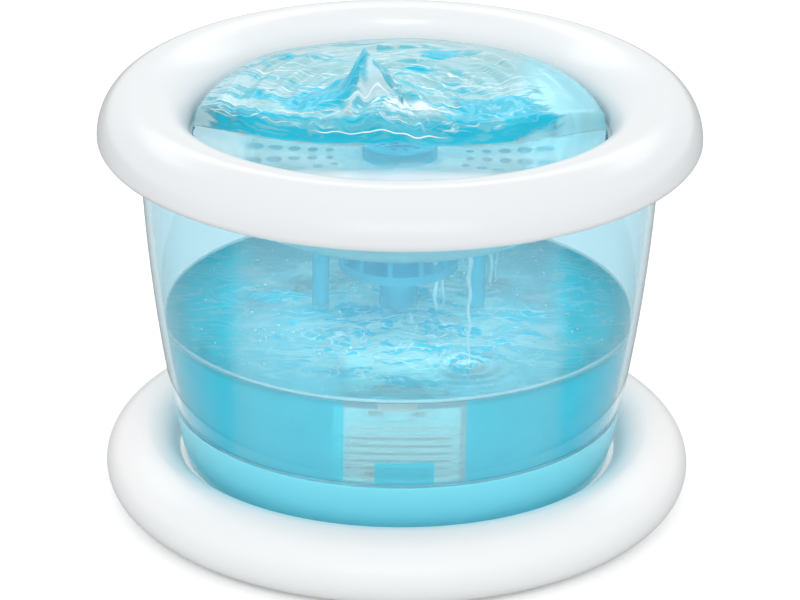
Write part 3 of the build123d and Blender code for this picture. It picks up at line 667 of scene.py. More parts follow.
@dataclass(frozen=True)
class DomeSkin:
    """What is seen on the choppy water of the bowl: deep blue hollows, white painted highlights and painted
    light.
    """

    name: str = "water_waves_of_bowl"
    pale: str = "#9CC8CC"
    side: tuple[str, str] = ("#CDF0F6", "#ACF0FC")   # painted light on the shaded flanks of the mound, left and right
    back: str = "#C2DEE2"
    mid: str = "#5CB8C8"
    deep: str = "#06AECA"
    # white of the painted highlights, of the froth and of the painted light round the spout
    crest: str = "#F4FAFB"
    calm: float = 0.42                  # how much of the calm pool is veiled
    front_y: Point = (-17.0, 22.0)      # front edge of the choppy water, and how far it goes back
    side_x: float = 79.0
    bend: float = 2.5
    area: Oval = ((-10.0, 8.0), (67.0, 64.0))
    rim_r: float = 78.9
    foam: Oval = ((4.0, -5.0), (18.0, 4.5))
    cap: Oval = ((0.0, -27.0), (19.0, 11.0))         # where the nozzle is seen through the calm pool
    spout: Point = (-13.5, 5.0)
    pool: Oval = ((-29.0, 4.0), (17.0, 8.0))         # deep patch to the left of the spout
    hollows: tuple[Oval, ...] = (((-30.0, 6.0), (13.0, 9.0)), ((38.0, 3.0), (16.0, 10.0)),
                                 ((50.0, -6.0), (9.0, 10.0)), ((15.0, 51.0), (7.0, 7.0)),
                                 ((-9.0, 22.0), (5.0, 12.0)), ((24.0, -6.0), (9.0, 5.0)))
    # lines drawn white along the crests: painted highlights
    painted_crest_highlights: tuple[Ripples, ...] = (Ripples(7.5, 5.0, 34, 21.0, 0.95, 0.8),
                                   Ripples(4.2, 5.0, 22, 33.0, 0.86, 0.5),
                                   Ripples(2.6, 4.0, 13, 45.0, 0.82, 0.4))

    def build(self) -> bpy.types.Material:
        """Makes the material."""
        material, tree = new_material(self.name)
        g = Graph(tree)
        x, y, wide = g.x, g.y, abs(g.x)
        depth = y - ((wide / self.side_x) ** self.bend * self.front_y[1] + self.front_y[0])
        mound = depth.step(-1.2, -0.6)
        swirl = g.bands(depth, 30, 6.0, 3.0, 0.7)
        fine = g.bands(depth, 15, 2.6, 3.0, 0.8, 7.0)
        level = swirl + (fine - 0.5) * 0.3
        area = (g.oval(*self.area) + (swirl - 0.5) * 0.7).step(1.05, 0.97) * mound

        # deep blue: the steep front of the mound with its ragged upper edge, a pool and the hollows
        drawn = (x + (swirl - 0.5) * 70.0).step(62, 52) * x.step(-76, -62)
        face = (depth + (level - 0.5) * 34.0).step(4.5, 3.5) * depth.step(-1.0, -0.4) * drawn
        pool = (g.oval(*self.pool) + (swirl - 0.5) * 1.6).step(0.95, 0.75)
        hollow = level + depth.step(42.0, 24.0) * 0.07
        for oval in self.hollows:
            hollow = hollow + g.oval(*oval).step(1.35, 0.5) * 0.34
        blue = g.most(hollow.step(0.665, 0.68), face, pool) * area
        rim = g.radius().step(self.rim_r - 9, self.rim_r - 3) * x.step(20, -25) * mound
        rim = rim * level.step(0.38, 0.48) * 0.12
        soft = g.most(hollow.step(0.55, 0.60) * area, rim)

        # white: painted highlights along the crests, a painted highlight as a thin lip along the front edge,
        # and froth behind it
        white = g.most(*(g.ripple(depth, kind) for kind in self.painted_crest_highlights))
        white = white * y.step(75, 25) * (1.0 - blue * 0.75)
        wander = (g.noise((15, 30, 15), 1.0, 0.0, 9.0) - 0.5) * 3.0
        lip = (depth + wander).close_to(1.6, 0.02, 0.16) * x.step(20, 10) * x.step(-36, -28)
        froth = g.oval(*self.foam).step(1.25, 0.5) * fine.step(0.44, 0.52) * 0.85
        white = g.most(g.most(white, froth) * depth.step(2.2, 3.2), lip) * area

        # the colour between them: paler behind, and painted light at the sides and round the spout, where the
        # mound's steep faces lie in shade
        sky = g.blend(y.step(32, 56) * 0.9, self.pale, self.back)
        sky = g.blend(abs(x + 5.0).step(46, 60), sky, g.blend(x.step(-5, 5), *self.side))
        sky = g.blend(g.radius(self.spout).step(19.0, 5.0) * 0.55, sky, self.crest)
        near = y.step(-40.0, -50.0)
        colour = g.blend(soft * mound, sky, self.mid)
        colour = g.blend(blue * (fine.step(0.42, 0.56) * 0.24 + 0.76), colour, self.deep)
        colour = g.blend(g.most(white, near), colour, self.crest)

        veil = near * 0.15 + self.calm - g.oval(*self.cap).step(1.1, 0.9) * 0.14
        # the flanks with their painted light, and the steep sides, show more
        sides = wide.step(50, 64) * mound * depth.step(30.0, 4.0)
        steep = wide.step(50, 62) * (1.0 - mound)
        alpha = g.most(blue * 0.95, soft * 0.75, depth.step(1.0, 5.0) * 0.6, white * 0.95, sides * 0.65,
                       steep * 0.62, veil)
        g.film(colour, alpha, 0.04)
        return material


@dataclass(frozen=True)
class TankSkin:
    """Tank water: fine air, painted highlights on ripples, blue hollows, painted reflection in front and
    painted light at the sides.
    """

    name: str = "water_surface_of_tank"
    # paler middle in front: a painted reflection of the floor; bright cyan side: painted light where the ring
    # shades the sides
    middle: str = "#A8DCE2"
    side: str = "#34F2FF"
    cloud: str = "#E8F4F0"
    deep: str = "#10D2E4"
    # white of the painted highlights on ripples and ring waves
    crest: str = "#FFFFFF"
    plume: Oval = ((4.0, -30.0), (60.0, 48.0))       # where the falling water stirs it up
    impact: Point = (26.0, -56.0)                    # where a thread of water meets it
    ring_pitch: float = 4.8
    # half width of the painted reflection in front, and its edge
    half: float = 60.0
    edge: float = 6.0
    # ripple lines, drawn white as painted highlights
    lines: tuple[Ripples, ...] = (Ripples(9.0, 6.0, 26, 3.0, 0.80), Ripples(5.5, 6.0, 15, 13.0, 0.74, 0.9))
    stirred: Ripples = Ripples(4.0, 5.0, 9, 23.0, 0.70, 0.9)
    pools: tuple[Oval, ...] = (((-17.0, -4.0), (8.0, 8.0)), ((25.0, -50.0), (7.0, 8.0)),
                               ((2.0, 13.0), (11.0, 8.0)), ((6.0, -72.0), (12.0, 3.5)),
                               ((27.0, -26.0), (6.0, 5.0)), ((-24.0, -14.0), (6.0, 5.0)),
                               ((-48.0, 8.0), (12.0, 6.0)), ((50.0, -8.0), (10.0, 7.0)))

    def build(self) -> bpy.types.Material:
        """Makes the material."""
        material, tree = new_material(self.name)
        g = Graph(tree)
        near = g.oval(*self.plume).step(1.25, 0.3)
        side = abs(g.x).step(self.half - self.edge, self.half + self.edge)
        cloud = (g.noise((34, 17, 20), 3.0, 1.2, 2.0) + near * 0.16).step(0.52, 0.66)
        splash = g.noise((7, 6, 6), 2.0, 1.5, 31.0)

        # white lines along ripples and round where a thread falls in: painted highlights
        lines = g.most(*(g.ripple(g.y, kind) for kind in self.lines), g.ripple(g.y, self.stirred) * near)
        far = g.radius(self.impact)
        rings = g.math("SINE", (far + splash * 3.0) * (FULL_TURN / self.ring_pitch)).step(0.5, 0.85)
        lines = g.most(lines * (near * 0.45 + 0.4), rings * far.step(19.0, 7.0) * 0.8)

        pool = g.most(*(g.oval(*oval).step(1.35, 0.55) for oval in self.pools)) + (splash - 0.5) * 2.4
        troughs = g.bands(g.y, 16, 7.5, 2.0, 1.0, 15.0).step(0.56, 0.58) * near.step(0.05, 0.5)
        hollow = g.most(troughs, splash.step(0.60, 0.63) * near.step(0.55, 0.8), pool.step(0.5, 0.6))

        colour = g.blend(side, self.middle, self.side)
        colour = g.blend(cloud * (0.8 - side * 0.6), colour, self.cloud)
        colour = g.blend(hollow, colour, self.deep)
        colour = g.blend(lines, colour, self.crest)
        g.film(colour, g.most(near * 0.16 + 0.5 + side * 0.2, hollow * 0.92, lines * 0.9), 0.08, 0.15)
        return material


@dataclass(frozen=True)
class WallSkin:
    """Painted on a film at the wall: deep blue under water, and a painted reflection as a pale veil in front.
    """

    name: str = "water_at_wall"
    side: str = "#2CEEFF"
    # pale veil in front: a painted reflection of the floor
    front: str = "#84F4FF"
    # painted image of the pump's front panel as seen through the water
    pump: str = "#F2F6F4"
    # white of the painted reflection over the dry wall and of the painted highlight at the water line
    painted_veil_and_highlight: str = "#FFFFFF"
    water_z: float = 76.5
    # half width of the painted reflection in front, and its edge
    half: float = 60.0
    edge: float = 4.0
    painted_panel_x: float = 2.9                 # middle of the painted image of the pump's pale front panel
    painted_panel_half: Point = (21.4, 23.2)     # half width of that painted image, and of its edge
    intake: Point = (10.5, 50.0)        # half width and top of the painted blue notch in it
    slot: Point = (6.5, 72.6)           # half width and low edge of the painted pale tab over it
    painted_bar: Point = (58.8, 3.12)           # height of one of its painted light bars, and their pitch
    painted_bars_z: Point = (41.5, 66.4)

    def build(self) -> bpy.types.Material:
        """Makes the material."""
        material, tree = new_material(self.name)
        g = Graph(tree)
        wide, z, facing = abs(g.x), g.z, g.facing()
        off = abs(g.x - self.painted_panel_x)
        # the front veil is a painted reflection of the floor
        front = wide.step(self.half + self.edge, self.half - self.edge) * facing
        # painted image of the pump's panel, with a blue notch, painted light bars and a pale tab
        half, top = self.intake
        intake = off.step(half + 1.0, half) * z.step(top + 0.6, top)
        painted_pump_image = off.step(self.painted_panel_half[1], self.painted_panel_half[0]) * facing * (1.0 - intake)
        low, high = self.painted_bars_z
        painted_light_bars = g.math("COSINE", (z - self.painted_bar[0]) * (FULL_TURN / self.painted_bar[1])).step(0.0, 0.7)
        painted_light_bars = painted_light_bars * z.step(low - 0.4, low) * z.step(high + 0.4, high) * painted_pump_image
        painted_light_bars = painted_light_bars * off.step(self.painted_panel_half[0] - 1.0, self.painted_panel_half[0] - 1.8)
        half, low = self.slot
        slot = wide.step(half + 2.0, half) * z.step(low - 0.6, low) * facing

        wet = z.step(self.water_z, self.water_z - 0.5)
        drift = (g.noise((30, 30, 18), 2.0, 0.5, 4.0) - 0.5) * 0.2
        in_water = g.most(0.84 - front * 0.18 + drift - painted_pump_image * 0.22 + painted_light_bars * 0.24, slot * 0.85)
        # over the dry wall a faint white, stronger in front, where it is a painted reflection
        in_air = front * 0.045 + 0.015
        edge = self.water_z
        # a white line at the water line: a painted highlight
        painted_meniscus_highlight = z.step(edge + 1.4, edge + 0.6) * z.step(edge - 1.2, edge - 0.4)

        colour = g.blend(painted_pump_image, g.blend(front, self.side, self.front), self.pump)
        colour = g.blend(painted_meniscus_highlight * 0.7, g.blend(wet, self.painted_veil_and_highlight, colour), self.painted_veil_and_highlight)
        g.film(colour, g.most(wet * in_water + (1.0 - wet) * in_air, painted_meniscus_highlight * 0.45), 0.3)
        return material


class Finishes:
    """Every finish of the fountain, made once."""

    def __init__(self) -> None:
        """Makes the materials."""
        # Polished white ABS: bright, slightly cool, with soft wide highlights.
        shell = {"grain_mm": 3.0, "grain_depth": 0.006}
        # painted shade: the ring's copy of the white ABS is painted darker than the tray's
        self.shell = Moulded("abs_white_ring_painted_darker", "#E4E7E9", 0.22, mottle=0.012, **shell).build()
        # painted light: the tray's copy is painted lighter than the ring's
        self.tray = Moulded("abs_white_tray_painted_lighter", "#F0F2F3", 0.3, mottle=0.004, **shell).build()
        # Blue-tinted clear styrene: glossy, and each pass of a wall takes some of the red.
        self.wall = Clear("styrene_clear_blue", "#D6EEF5", STYRENE_IOR, STYRENE_SHADE,
                          glare=(60.0, 4.0)).build()
        # Where it is thick or doubled, as in the foot and the bowl, it is deeper and a little milky.
        self.foot = Clear("styrene_clear_blue_foot", "#7FDFF0", STYRENE_IOR, STYRENE_SHADE, milk=0.85).build()
        self.well = Clear("styrene_clear_blue_well", "#E4F8FC", STYRENE_IOR, STYRENE_SHADE, milk=0.8).build()
        self.dish = Clear("styrene_clear_blue_dish", "#DCF4F7", STYRENE_IOR, STYRENE_SHADE, milk=0.55).build()
        self.hole = Clear("styrene_clear_blue_hole", "#4FC4E0", STYRENE_IOR, STYRENE_SHADE, milk=0.8).build()
        # The same styrene in the thin mouldings under the bowl and in the nozzle.
        self.fitting = ThinClear("styrene_clear_fitting", "#5FC8DC", 0.6, 0.05).build()
        self.nozzle = ThinClear("styrene_clear_nozzle", "#14E2FF", 0.7, 0.05).build()
        # Water: clear, blue only in depth; its skins carry the fine air in it and painted highlights, painted
        # reflection and painted light on its waves.
        self.tank_water = Clear("water_in_tank", "#FFFFFF", WATER_IOR, WATER_SHADE, absorb=(15.0, 1.5, 0.7),
                                sheen="#9FE0F2").build()
        self.bowl_water = Clear("water_in_bowl", "#FFFFFF", WATER_IOR, WATER_SHADE,
                                absorb=(8.0, 2.6, 1.3)).build()
        self.dome_skin = DomeSkin().build()
        self.tank_skin = TankSkin().build()
        self.wall_skin = WallSkin().build()
        self.stream = ThinClear("water_falling", "#EAF8FB", 0.5, 0.1).build()
        self.bubble = Moulded("bubble_skin", "#DDF6FA", 0.05, grain_mm=1.0, grain_depth=0.0,
                              ior=WATER_IOR).build()
        # Open-cell foam and woven carbon: dull, with pores and fibres coarse enough to show.
        self.foam = Moulded("polyurethane_foam", "#E4F4F4", 0.9, 0.9, 0.3, mottle=0.25).build()
        self.carbon = Moulded("carbon_fibre_pad", "#3E4446", 0.9, 0.7, 0.2, mottle=0.3).build()
        # White polypropylene of the pump: satin, with a faint grain.
        self.pump = Moulded("polypropylene_pale", "#E6F3F4", 0.35, 1.0).build()
        self.cover = Moulded("polypropylene_cover", "#EEF8F6", 0.3, 1.0).build()
        # Rubber and silicone: dull and grey; silicone is a little glossier.
        self.rubber = Moulded("rubber_soft_grey", "#C9CDD0", 0.6, 0.8).build()
        self.silicone = Moulded("silicone_clear_grey", "#DDE3E5", 0.35, 0.8, ior=1.42).build()
        # The motor: laminated steel, enamelled copper, cast epoxy, ground alumina, ferrite and acetal.
        self.steel = Moulded("steel_laminated", "#8E9296", 0.42, 0.5, 0.03, metallic=1.0).build()
        self.copper = Moulded("copper_enamelled", "#A4552B", 0.32, 0.4, 0.08, metallic=1.0).build()
        self.epoxy = Moulded("epoxy_cast_black", "#202427", 0.3, 2.5).build()
        self.ceramic = Moulded("alumina_ground", "#F1EEE6", 0.18, 0.6, ior=1.76).build()
        self.ferrite = Moulded("ferrite_sintered", "#3A3B3E", 0.5, 0.6, 0.04).build()
        self.acetal = Moulded("acetal_white", "#E9ECEC", 0.3, 1.0).build()


# --- pieces -------------------------------------------------------------------------------


@dataclass
class Fountain:
    """Keeps track of pieces as they are finished."""

    frame: dict
    finishes: Finishes
    count: int = 0

    def add(self, piece: bpy.types.Object, body: Body, slot: Slot, material: bpy.types.Material,
            stands_for: Sequence[str] = ()) -> bpy.types.Object:
        """Dresses a piece and ties it to the frame.

        Args:
            piece: Finished mesh.
            body: Body that carries it.
            slot: The record's slot for its finish; not used.
            material: Its material.
            stands_for: CAD nodes that it replaces.

        Returns:
            The piece.
        """
        piece.data.materials.clear()
        piece.data.materials.append(material)
        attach(piece, body.value)
        if stands_for:
            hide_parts(*stands_for)
        self.count += 1
        LOG.info("%s: %d faces on %s", piece.name, len(piece.data.polygons), body.value)
        return piece

    @staticmethod
    def line_with(piece: bpy.types.Object, material: bpy.types.Material,
                  where: Callable[[Vector, Vector], bool]) -> None:
        """Gives a second finish to the faces of a piece for which where(middle, normal) is true, in mm."""
        piece.data.materials.append(material)
        last = len(piece.data.materials) - 1
        for face in piece.data.polygons:
            if where(face.center / MM, face.normal):
                face.material_index = last

    def dress(self, node: str, material: bpy.types.Material) -> None:
        """Gives a CAD node its material."""
        holder = self.frame["nodes"][node]
        holder.data.materials.clear()
        holder.data.materials.append(material)
        LOG.info("%s: dressed", node)


@dataclass
class RingShell:
    """The rolled white ring over the tank's rim."""

    crown_r: float = 100.3
    top_z: float = 165.6
    wide_z: float = 148.1
    reach: float = 14.7
    inner_reach: float = 20.0
    lip_z: float = 147.6
    tuck: float = 6.0
    tuck_angle: float = 78.0
    wall: float = 2.2
    rib_count: int = 12
    rib_t: float = 1.6
    rib_r: Point = (88.0, 99.0)
    rib_low: float = 151.0
    notch_half: float = 4.5
    notch_y: Point = (100.5, 108.0)
    notch_z: Point = (138.0, 146.0)
    smooth: int = 22

    def skin(self, inset: float) -> list[Point]:
        """Crown from the widest edge over the top to the opening, set in from the outside."""
        outer = oval_run((self.crown_r, self.wide_z), self.reach - inset,
                         self.top_z - self.wide_z - inset, 0, 90, self.smooth)
        inner = oval_run((self.crown_r, self.lip_z), self.inner_reach - inset,
                         self.top_z - self.lip_z - inset, 90, 180, self.smooth)
        return outer + inner[1:]

    def tucked(self, inset: float) -> list[Point]:
        """The part that rolls under, from its edge up to the widest circle."""
        return oval_run((self.crown_r, self.wide_z), self.reach - inset, self.tuck - inset,
                        -self.tuck_angle, 0, 12)

    def build(self) -> bpy.types.Object:
        """Makes the ring with its ribs and cord notch."""
        outer = self.tucked(0) + self.skin(0)[1:]
        inner = list(reversed(self.tucked(self.wall) + self.skin(self.wall)[1:]))
        ring = turned(outer + inner)
        core = self.skin(self.wall / 2)
        envelope = turned(core + [(self.crown_r - self.inner_reach + 1, self.rib_low),
                                  (self.crown_r + self.reach - 2, self.rib_low)])
        half = self.rib_t / 2
        ribs = joined([slab((self.rib_r[0], -half, self.rib_low), (self.rib_r[1], half, self.top_z),
                            360 * (i + 0.5) / self.rib_count) for i in range(self.rib_count)])
        ribs = carved(ribs, envelope, "INTERSECT")
        ring = carved(ring, ribs, "UNION")
        notch = slab((-self.notch_half, self.notch_y[0], self.notch_z[0]),
                     (self.notch_half, self.notch_y[1], self.notch_z[1]))
        return settle(carved(ring, notch, "DIFFERENCE"), "ring_shell", 35)


@dataclass
class TrayShell:
    """The white spill tray with its rolled rim, gutter and centring collar."""

    crown_r: float = 97.5
    crown_z: float = 27.5
    wide_z: float = 12.6
    reach: float = 16.1
    tuck: float = 13.2
    tuck_angle: float = 60.0
    wall: float = 2.6
    gutter: Point = (84.8, 18.3)
    slope_mid: Point = (90.0, 24.6)
    under_slope_mid: Point = (91.2, 22.2)
    under_slope_r: float = 86.4
    plate_z: float = 20.0
    collar_in: float = 79.3
    collar_out: float = 80.9
    collar_top: float = 36.0
    rib_count: int = 8
    rib_t: float = 1.8
    rib_low: float = 5.0
    rib_reach: float = 104.0
    hub_r: Point = (18.0, 20.0)
    foot_count: int = 4
    foot_circle: float = 95.0
    foot_r: float = 7.1
    foot_top: float = 3.2
    boss_r: float = 9.0
    boss_low: float = 1.2

    def outline(self) -> list[Point]:
        """Closed outline of the tray's wall."""
        middle = (self.crown_r, self.wide_z)
        rise = self.crown_z - self.wide_z
        t = self.wall
        under_plate = self.plate_z - t
        top = bow(self.gutter, self.slope_mid, (self.crown_r, self.crown_z), 16)
        over = oval_run(middle, self.reach, rise, 90, 0, 24)[1:]
        under = oval_run(middle, self.reach, self.tuck, 0, -self.tuck_angle, 14)[1:]
        back = oval_run(middle, self.reach - t, self.tuck - t, -self.tuck_angle, 0, 14)
        back += oval_run(middle, self.reach - t, rise - t, 0, 90, 20)[1:]
        slope = bow((self.crown_r, self.crown_z - t), self.under_slope_mid,
                    (self.under_slope_r, self.gutter[1] - t), 12)
        head = eased([(0, self.plate_z, 0), (self.collar_in, self.plate_z, 0),
                      (self.collar_in, self.collar_top, 0.5), (self.collar_out, self.collar_top, 0.5),
                      (self.collar_out, self.gutter[1], 1.0), (*self.gutter, 0)])[:-1]
        tail = [(self.collar_in, self.gutter[1] - t), (self.collar_in - t, under_plate), (0, under_plate)]
        return head + top + over + under + back + slope[1:] + tail

    def envelope(self) -> bpy.types.Object:
        """A solid just inside the outer skin, which trims the ribs and bosses."""
        middle = (self.crown_r, self.wide_z)
        inset = self.wall / 2
        rise = self.crown_z - self.wide_z
        top = bow((self.gutter[0], self.gutter[1] - inset), (self.slope_mid[0], self.slope_mid[1] - inset),
                  (self.crown_r, self.crown_z - inset), 16)
        over = oval_run(middle, self.reach - inset, rise - inset, 90, 0, 20)[1:]
        foot = oval_run(middle, self.reach - inset, self.tuck - inset, 0, -self.tuck_angle, 10)[1:]
        low = self.boss_low
        plate = [(0, self.plate_z - inset), (self.collar_in, self.plate_z - inset)]
        return turned(plate + top + over + foot + [(foot[-1][0], low), (0, low)], 96)

    def build(self) -> bpy.types.Object:
        """Makes the tray with its ribs, hub ring, bosses and foot seats."""
        tray = turned(self.outline())
        half, (hub_in, hub_out) = self.rib_t / 2, self.hub_r
        feet = list(circle_places(self.foot_count, self.foot_circle, 45))
        ribs = joined([slab((hub_in, -half, self.rib_low), (self.rib_reach, half, self.crown_z),
                            360 * i / self.rib_count) for i in range(self.rib_count)])
        bosses = joined([post(self.boss_r, self.boss_low, self.crown_z, x, y) for x, y in feet])
        ribs = carved(ribs, bosses, "UNION")
        hub = turned([(hub_in, self.rib_low), (hub_out, self.rib_low), (hub_out, self.plate_z),
                      (hub_in, self.plate_z)], 64)
        ribs = carved(carved(ribs, hub, "UNION"), self.envelope(), "INTERSECT")
        tray = carved(tray, ribs, "UNION")
        seats = joined([post(self.foot_r, -1, self.foot_top, x, y) for x, y in feet])
        return settle(carved(tray, seats, "DIFFERENCE"), "tray_shell", 35)


@dataclass
class TankShell:
    """The clear blue tank: a flared wall, a ledge, a well and a hollow foot."""

    foot_r: float = 83.7
    foot_z: float = 20.8
    neck_r: float = 98.9
    neck_z: float = 142.1
    belly: float = 2.63
    rim_z: float = 148.0
    wall: float = 2.5
    skirt: float = 2.0
    skirt_low: float = 18.5
    shelf_z: float = 40.0
    shelf_t: float = 2.2
    well_r: float = 76.5
    floor_t: float = 2.5
    floor_z: float = 22.8
    notch_half: float = 4.5
    notch_y: Point = (80.0, 110.0)
    notch_z: float = 134.0
    pitch: float = 3.5
    foot_inner: float = 79.4            # the foot is outside this radius and the well inside it

    def is_foot(self, at: Vector, _: Vector) -> bool:
        """Whether a face is on the hollow foot."""
        return at.z < self.shelf_z + 1.0 and at.xy.length > self.foot_inner

    def is_milky(self, at: Vector, up: Vector) -> bool:
        """Whether a face is in the well, on the ledge, on the rim or in the cord notch."""
        well = at.z < self.shelf_z + 0.5 and at.xy.length <= self.foot_inner
        ledge = at.z < self.shelf_z + 1.7 and up.z > 0.3
        notch = (at.y > self.notch_y[0] and abs(at.x) < self.notch_half + 0.1 and abs(up.y) < 0.5
                 and at.z > self.notch_z - 0.1)
        return well or ledge or notch or at.z > self.rim_z - 0.9

    def radius(self, z: float) -> float:
        """Outside radius of the wall at a height."""
        t = (z - self.foot_z) / (self.neck_z - self.foot_z)
        return self.foot_r + (self.neck_r - self.foot_r) * t + self.belly * 4 * t * (1 - t)

    def wall_run(self, start: float, end: float, inset: float) -> list[Point]:
        """Points down or up the wall, set in from the outside face."""
        count = max(2, round(abs(end - start) / self.pitch))
        heights = (start + (end - start) * i / count for i in range(count + 1))
        return [(self.radius(z) - inset, z) for z in heights]

    def outline(self) -> list[Point]:
        """Closed outline of the wall, ledge, well and foot."""
        under = self.floor_z - self.floor_t
        well_out = self.well_r + self.shelf_t
        shelf_under = self.shelf_z - self.shelf_t
        outer = self.wall_run(self.skirt_low, self.rim_z, 0)
        inner = self.wall_run(self.rim_z, self.shelf_z, self.wall)
        foot = self.wall_run(shelf_under, self.skirt_low, self.skirt)
        corners = (sharp(outer[:-1]) + [(*outer[-1], 0.6), (*inner[0], 0.6)] + sharp(inner[1:-1])
                   + [(*inner[-1], 0.4), (self.well_r, self.shelf_z, 1.6), (self.well_r, self.floor_z, 2.0),
                      (0, self.floor_z, 0), (0, under, 0), (well_out, under, 1.6),
                      (well_out, shelf_under, 1.0), (*foot[0], 1.0)] + sharp(foot[1:]))
        return eased(corners)

    def build(self) -> bpy.types.Object:
        """Makes the tank with its rim notch."""
        tank = turned(self.outline())
        centre_z = self.notch_z + self.notch_half
        deselect()
        bpy.ops.mesh.primitive_cylinder_add(vertices=48, radius=self.notch_half * MM,
                                            depth=(self.notch_y[1] - self.notch_y[0]) * MM,
                                            location=mm(0, sum(self.notch_y) / 2, centre_z),
                                            rotation=(math.pi / 2, 0, 0))
        round_end = bpy.context.object
        bpy.ops.object.transform_apply(location=True, rotation=True, scale=True)
        slot = slab((-self.notch_half, self.notch_y[0], centre_z),
                    (self.notch_half, self.notch_y[1], self.rim_z + 2))
        return settle(carved(tank, carved(slot, round_end, "UNION"), "DIFFERENCE"), "tank_wall", 40)


@dataclass
class BowlDish:
    """The clear drinking bowl with its rings of drain holes."""

    floor_z: float = 122.0
    floor_t: float = 2.5
    floor_r: float = 60.5
    wall_mid: Point = (74.0, 133.5)
    wall_mid_under: Point = (76.0, 131.9)
    wall_top: Point = (79.0, 145.6)
    wall_top_under: Point = (81.2, 144.0)
    shoulder: Point = (84.0, 147.2)
    shoulder_under: Point = (84.8, 145.0)
    flange_r: float = 90.0
    flange_z: float = 151.0
    flange_t: float = 2.0
    lip_r: float = 101.2
    lip_t: float = 1.3
    lip_z: float = 144.4
    bore_r: float = 7.7
    rows: tuple[Point, ...] = ((27.0, 1.6), (33.5, 2.0), (40.5, 2.4), (48.0, 2.9), (55.8, 3.4))
    per_row: int = 24
    first_hole: float = 7.5
    holes_r: float = 59.5               # all holes are inside this radius

    def is_hole(self, at: Vector, up: Vector) -> bool:
        """Whether a face is the wall of a hole in the floor."""
        in_floor = self.floor_z - self.floor_t < at.z < self.floor_z
        return in_floor and abs(up.z) < 0.5 and at.xy.length < self.holes_r

    def inside(self, lift: float = 0.0) -> list[Point]:
        """Inner face from the middle of the floor up to the wall's top, lifted off it by a gap."""
        wall = bow((self.floor_r, self.floor_z), self.wall_mid, self.wall_top, 22)
        return [(0, self.floor_z + lift)] + [(r - lift, z + lift) for r, z in wall]

    def outline(self) -> list[Point]:
        """Closed outline of the dish, shoulder, flange and hanging lip."""
        under_flange = self.flange_z - self.flange_t
        under = bow(self.wall_top_under, self.wall_mid_under,
                    (self.floor_r + self.floor_t / 3, self.floor_z - self.floor_t), 22)
        lip_in = self.lip_r - self.lip_t
        edge = [(*self.shoulder, 1.5), (self.flange_r, self.flange_z, 2.0), (self.lip_r, self.flange_z, 0.8),
                (self.lip_r, self.lip_z, 0.4), (lip_in, self.lip_z, 0.4), (lip_in, under_flange, 0.4),
                (self.flange_r + self.flange_t / 4, under_flange, 1.0), (*self.shoulder_under, 1.0)]
        return eased(sharp(self.inside()) + edge + sharp(under) + [(0, self.floor_z - self.floor_t, 0)])

    def build(self) -> bpy.types.Object:
        """Makes the dish and cuts its holes."""
        dish = turned(self.outline())
        low, high = self.floor_z - self.floor_t - 1, self.floor_z + 1
        tools = [post(self.bore_r, low, high, sides=48)]
        for circle, hole in self.rows:
            tools += [post(hole, low, high, x, y, 20)
                      for x, y in circle_places(self.per_row, circle, self.first_hole)]
        return settle(carved(dish, joined(tools), "DIFFERENCE"), "bowl_dish", 40)


@dataclass
class TankWater:
    """Water in the tank, stirred up where it falls in from the bowl."""

    tank: TankShell
    level: float = 76.0
    climb: float = 0.25                 # how far it climbs the wall
    climb_reach: float = 1.2
    plume: Point = (6.0, -26.0)         # middle of the stirred-up water
    plume_r: float = 42.0
    drops: tuple[Place, ...] = ((26.0, -56.0, 1.5), (-57.0, 10.0, 0.5), (62.0, 18.0, 0.6), (25.0, 30.0, 1.0),
                                (-30.0, 22.0, 0.7))     # x, y and strength of its ring waves
    drop_pitch: float = 5.2
    drop_reach: float = 8.5

    def height(self, x: float, y: float) -> float:
        """Height of the surface over its level, in mm."""
        swell = 0.5 * noise.noise(Vector((x / 46, y / 46, 3.1)))
        swell += 0.3 * noise.noise(Vector((x / 21, y / 21, 7.7)))
        from_plume = math.hypot(x - self.plume[0], (y - self.plume[1]) * 1.1)
        stir = 1 - smoothstep(self.plume_r * 0.35, self.plume_r * 1.5, from_plume)
        chop = noise.fractal(Vector((x / 13, y / 13, 1.3)), 0.9, 2.1, 4)
        total = swell + stir * 1.9 * chop
        for cx, cy, strength in self.drops:
            r = math.hypot(x - cx, y - cy)
            total += strength * math.cos(r * FULL_TURN / self.drop_pitch) * math.exp(-r / self.drop_reach)
        return total

    def build(self) -> bpy.types.Object:
        """Makes the closed body of water."""
        inset = self.tank.wall + FILM
        edge_r = self.tank.radius(self.level) - inset
        side = self.tank.wall_run(self.level + self.climb, self.tank.shelf_z + FILM, inset)
        well_r = self.tank.well_r - FILM
        shelf, floor = self.tank.shelf_z + FILM, self.tank.floor_z + FILM
        low = eased([(*side[-1], 0.35), (well_r, shelf, 1.7), (well_r, floor, 1.9), (0, floor, 0)])
        water = turned([(0, self.level), (edge_r, self.level)] + side[:-1] + low[1:], WATER_STEPS, CUTS)
        for vertex in water.data.vertices:
            point = water.matrix_world @ vertex.co / MM
            r = math.hypot(point.x, point.y)
            if point.z < self.level - 0.01 or r > edge_r - 0.01:
                continue
            calm = smoothstep(0, 3.0, edge_r - r)
            creep = self.climb * math.exp(-(edge_r - r) / self.climb_reach)
            vertex.co.z += (self.height(point.x, point.y) * calm + creep) * MM
        return settle(water, "tank_water", 180)


def wall_film(tank: TankShell, low: float, high: float, gap: float = 0.3,
              depth: float = 0.12) -> bpy.types.Object:
    """A thin closed sleeve in the water, just inside the tank's wall."""
    inset = tank.wall + FILM + gap
    sleeve = turned(tank.wall_run(low, high, inset) + tank.wall_run(high, low, inset + depth))
    return settle(sleeve, "wet_wall", 60)


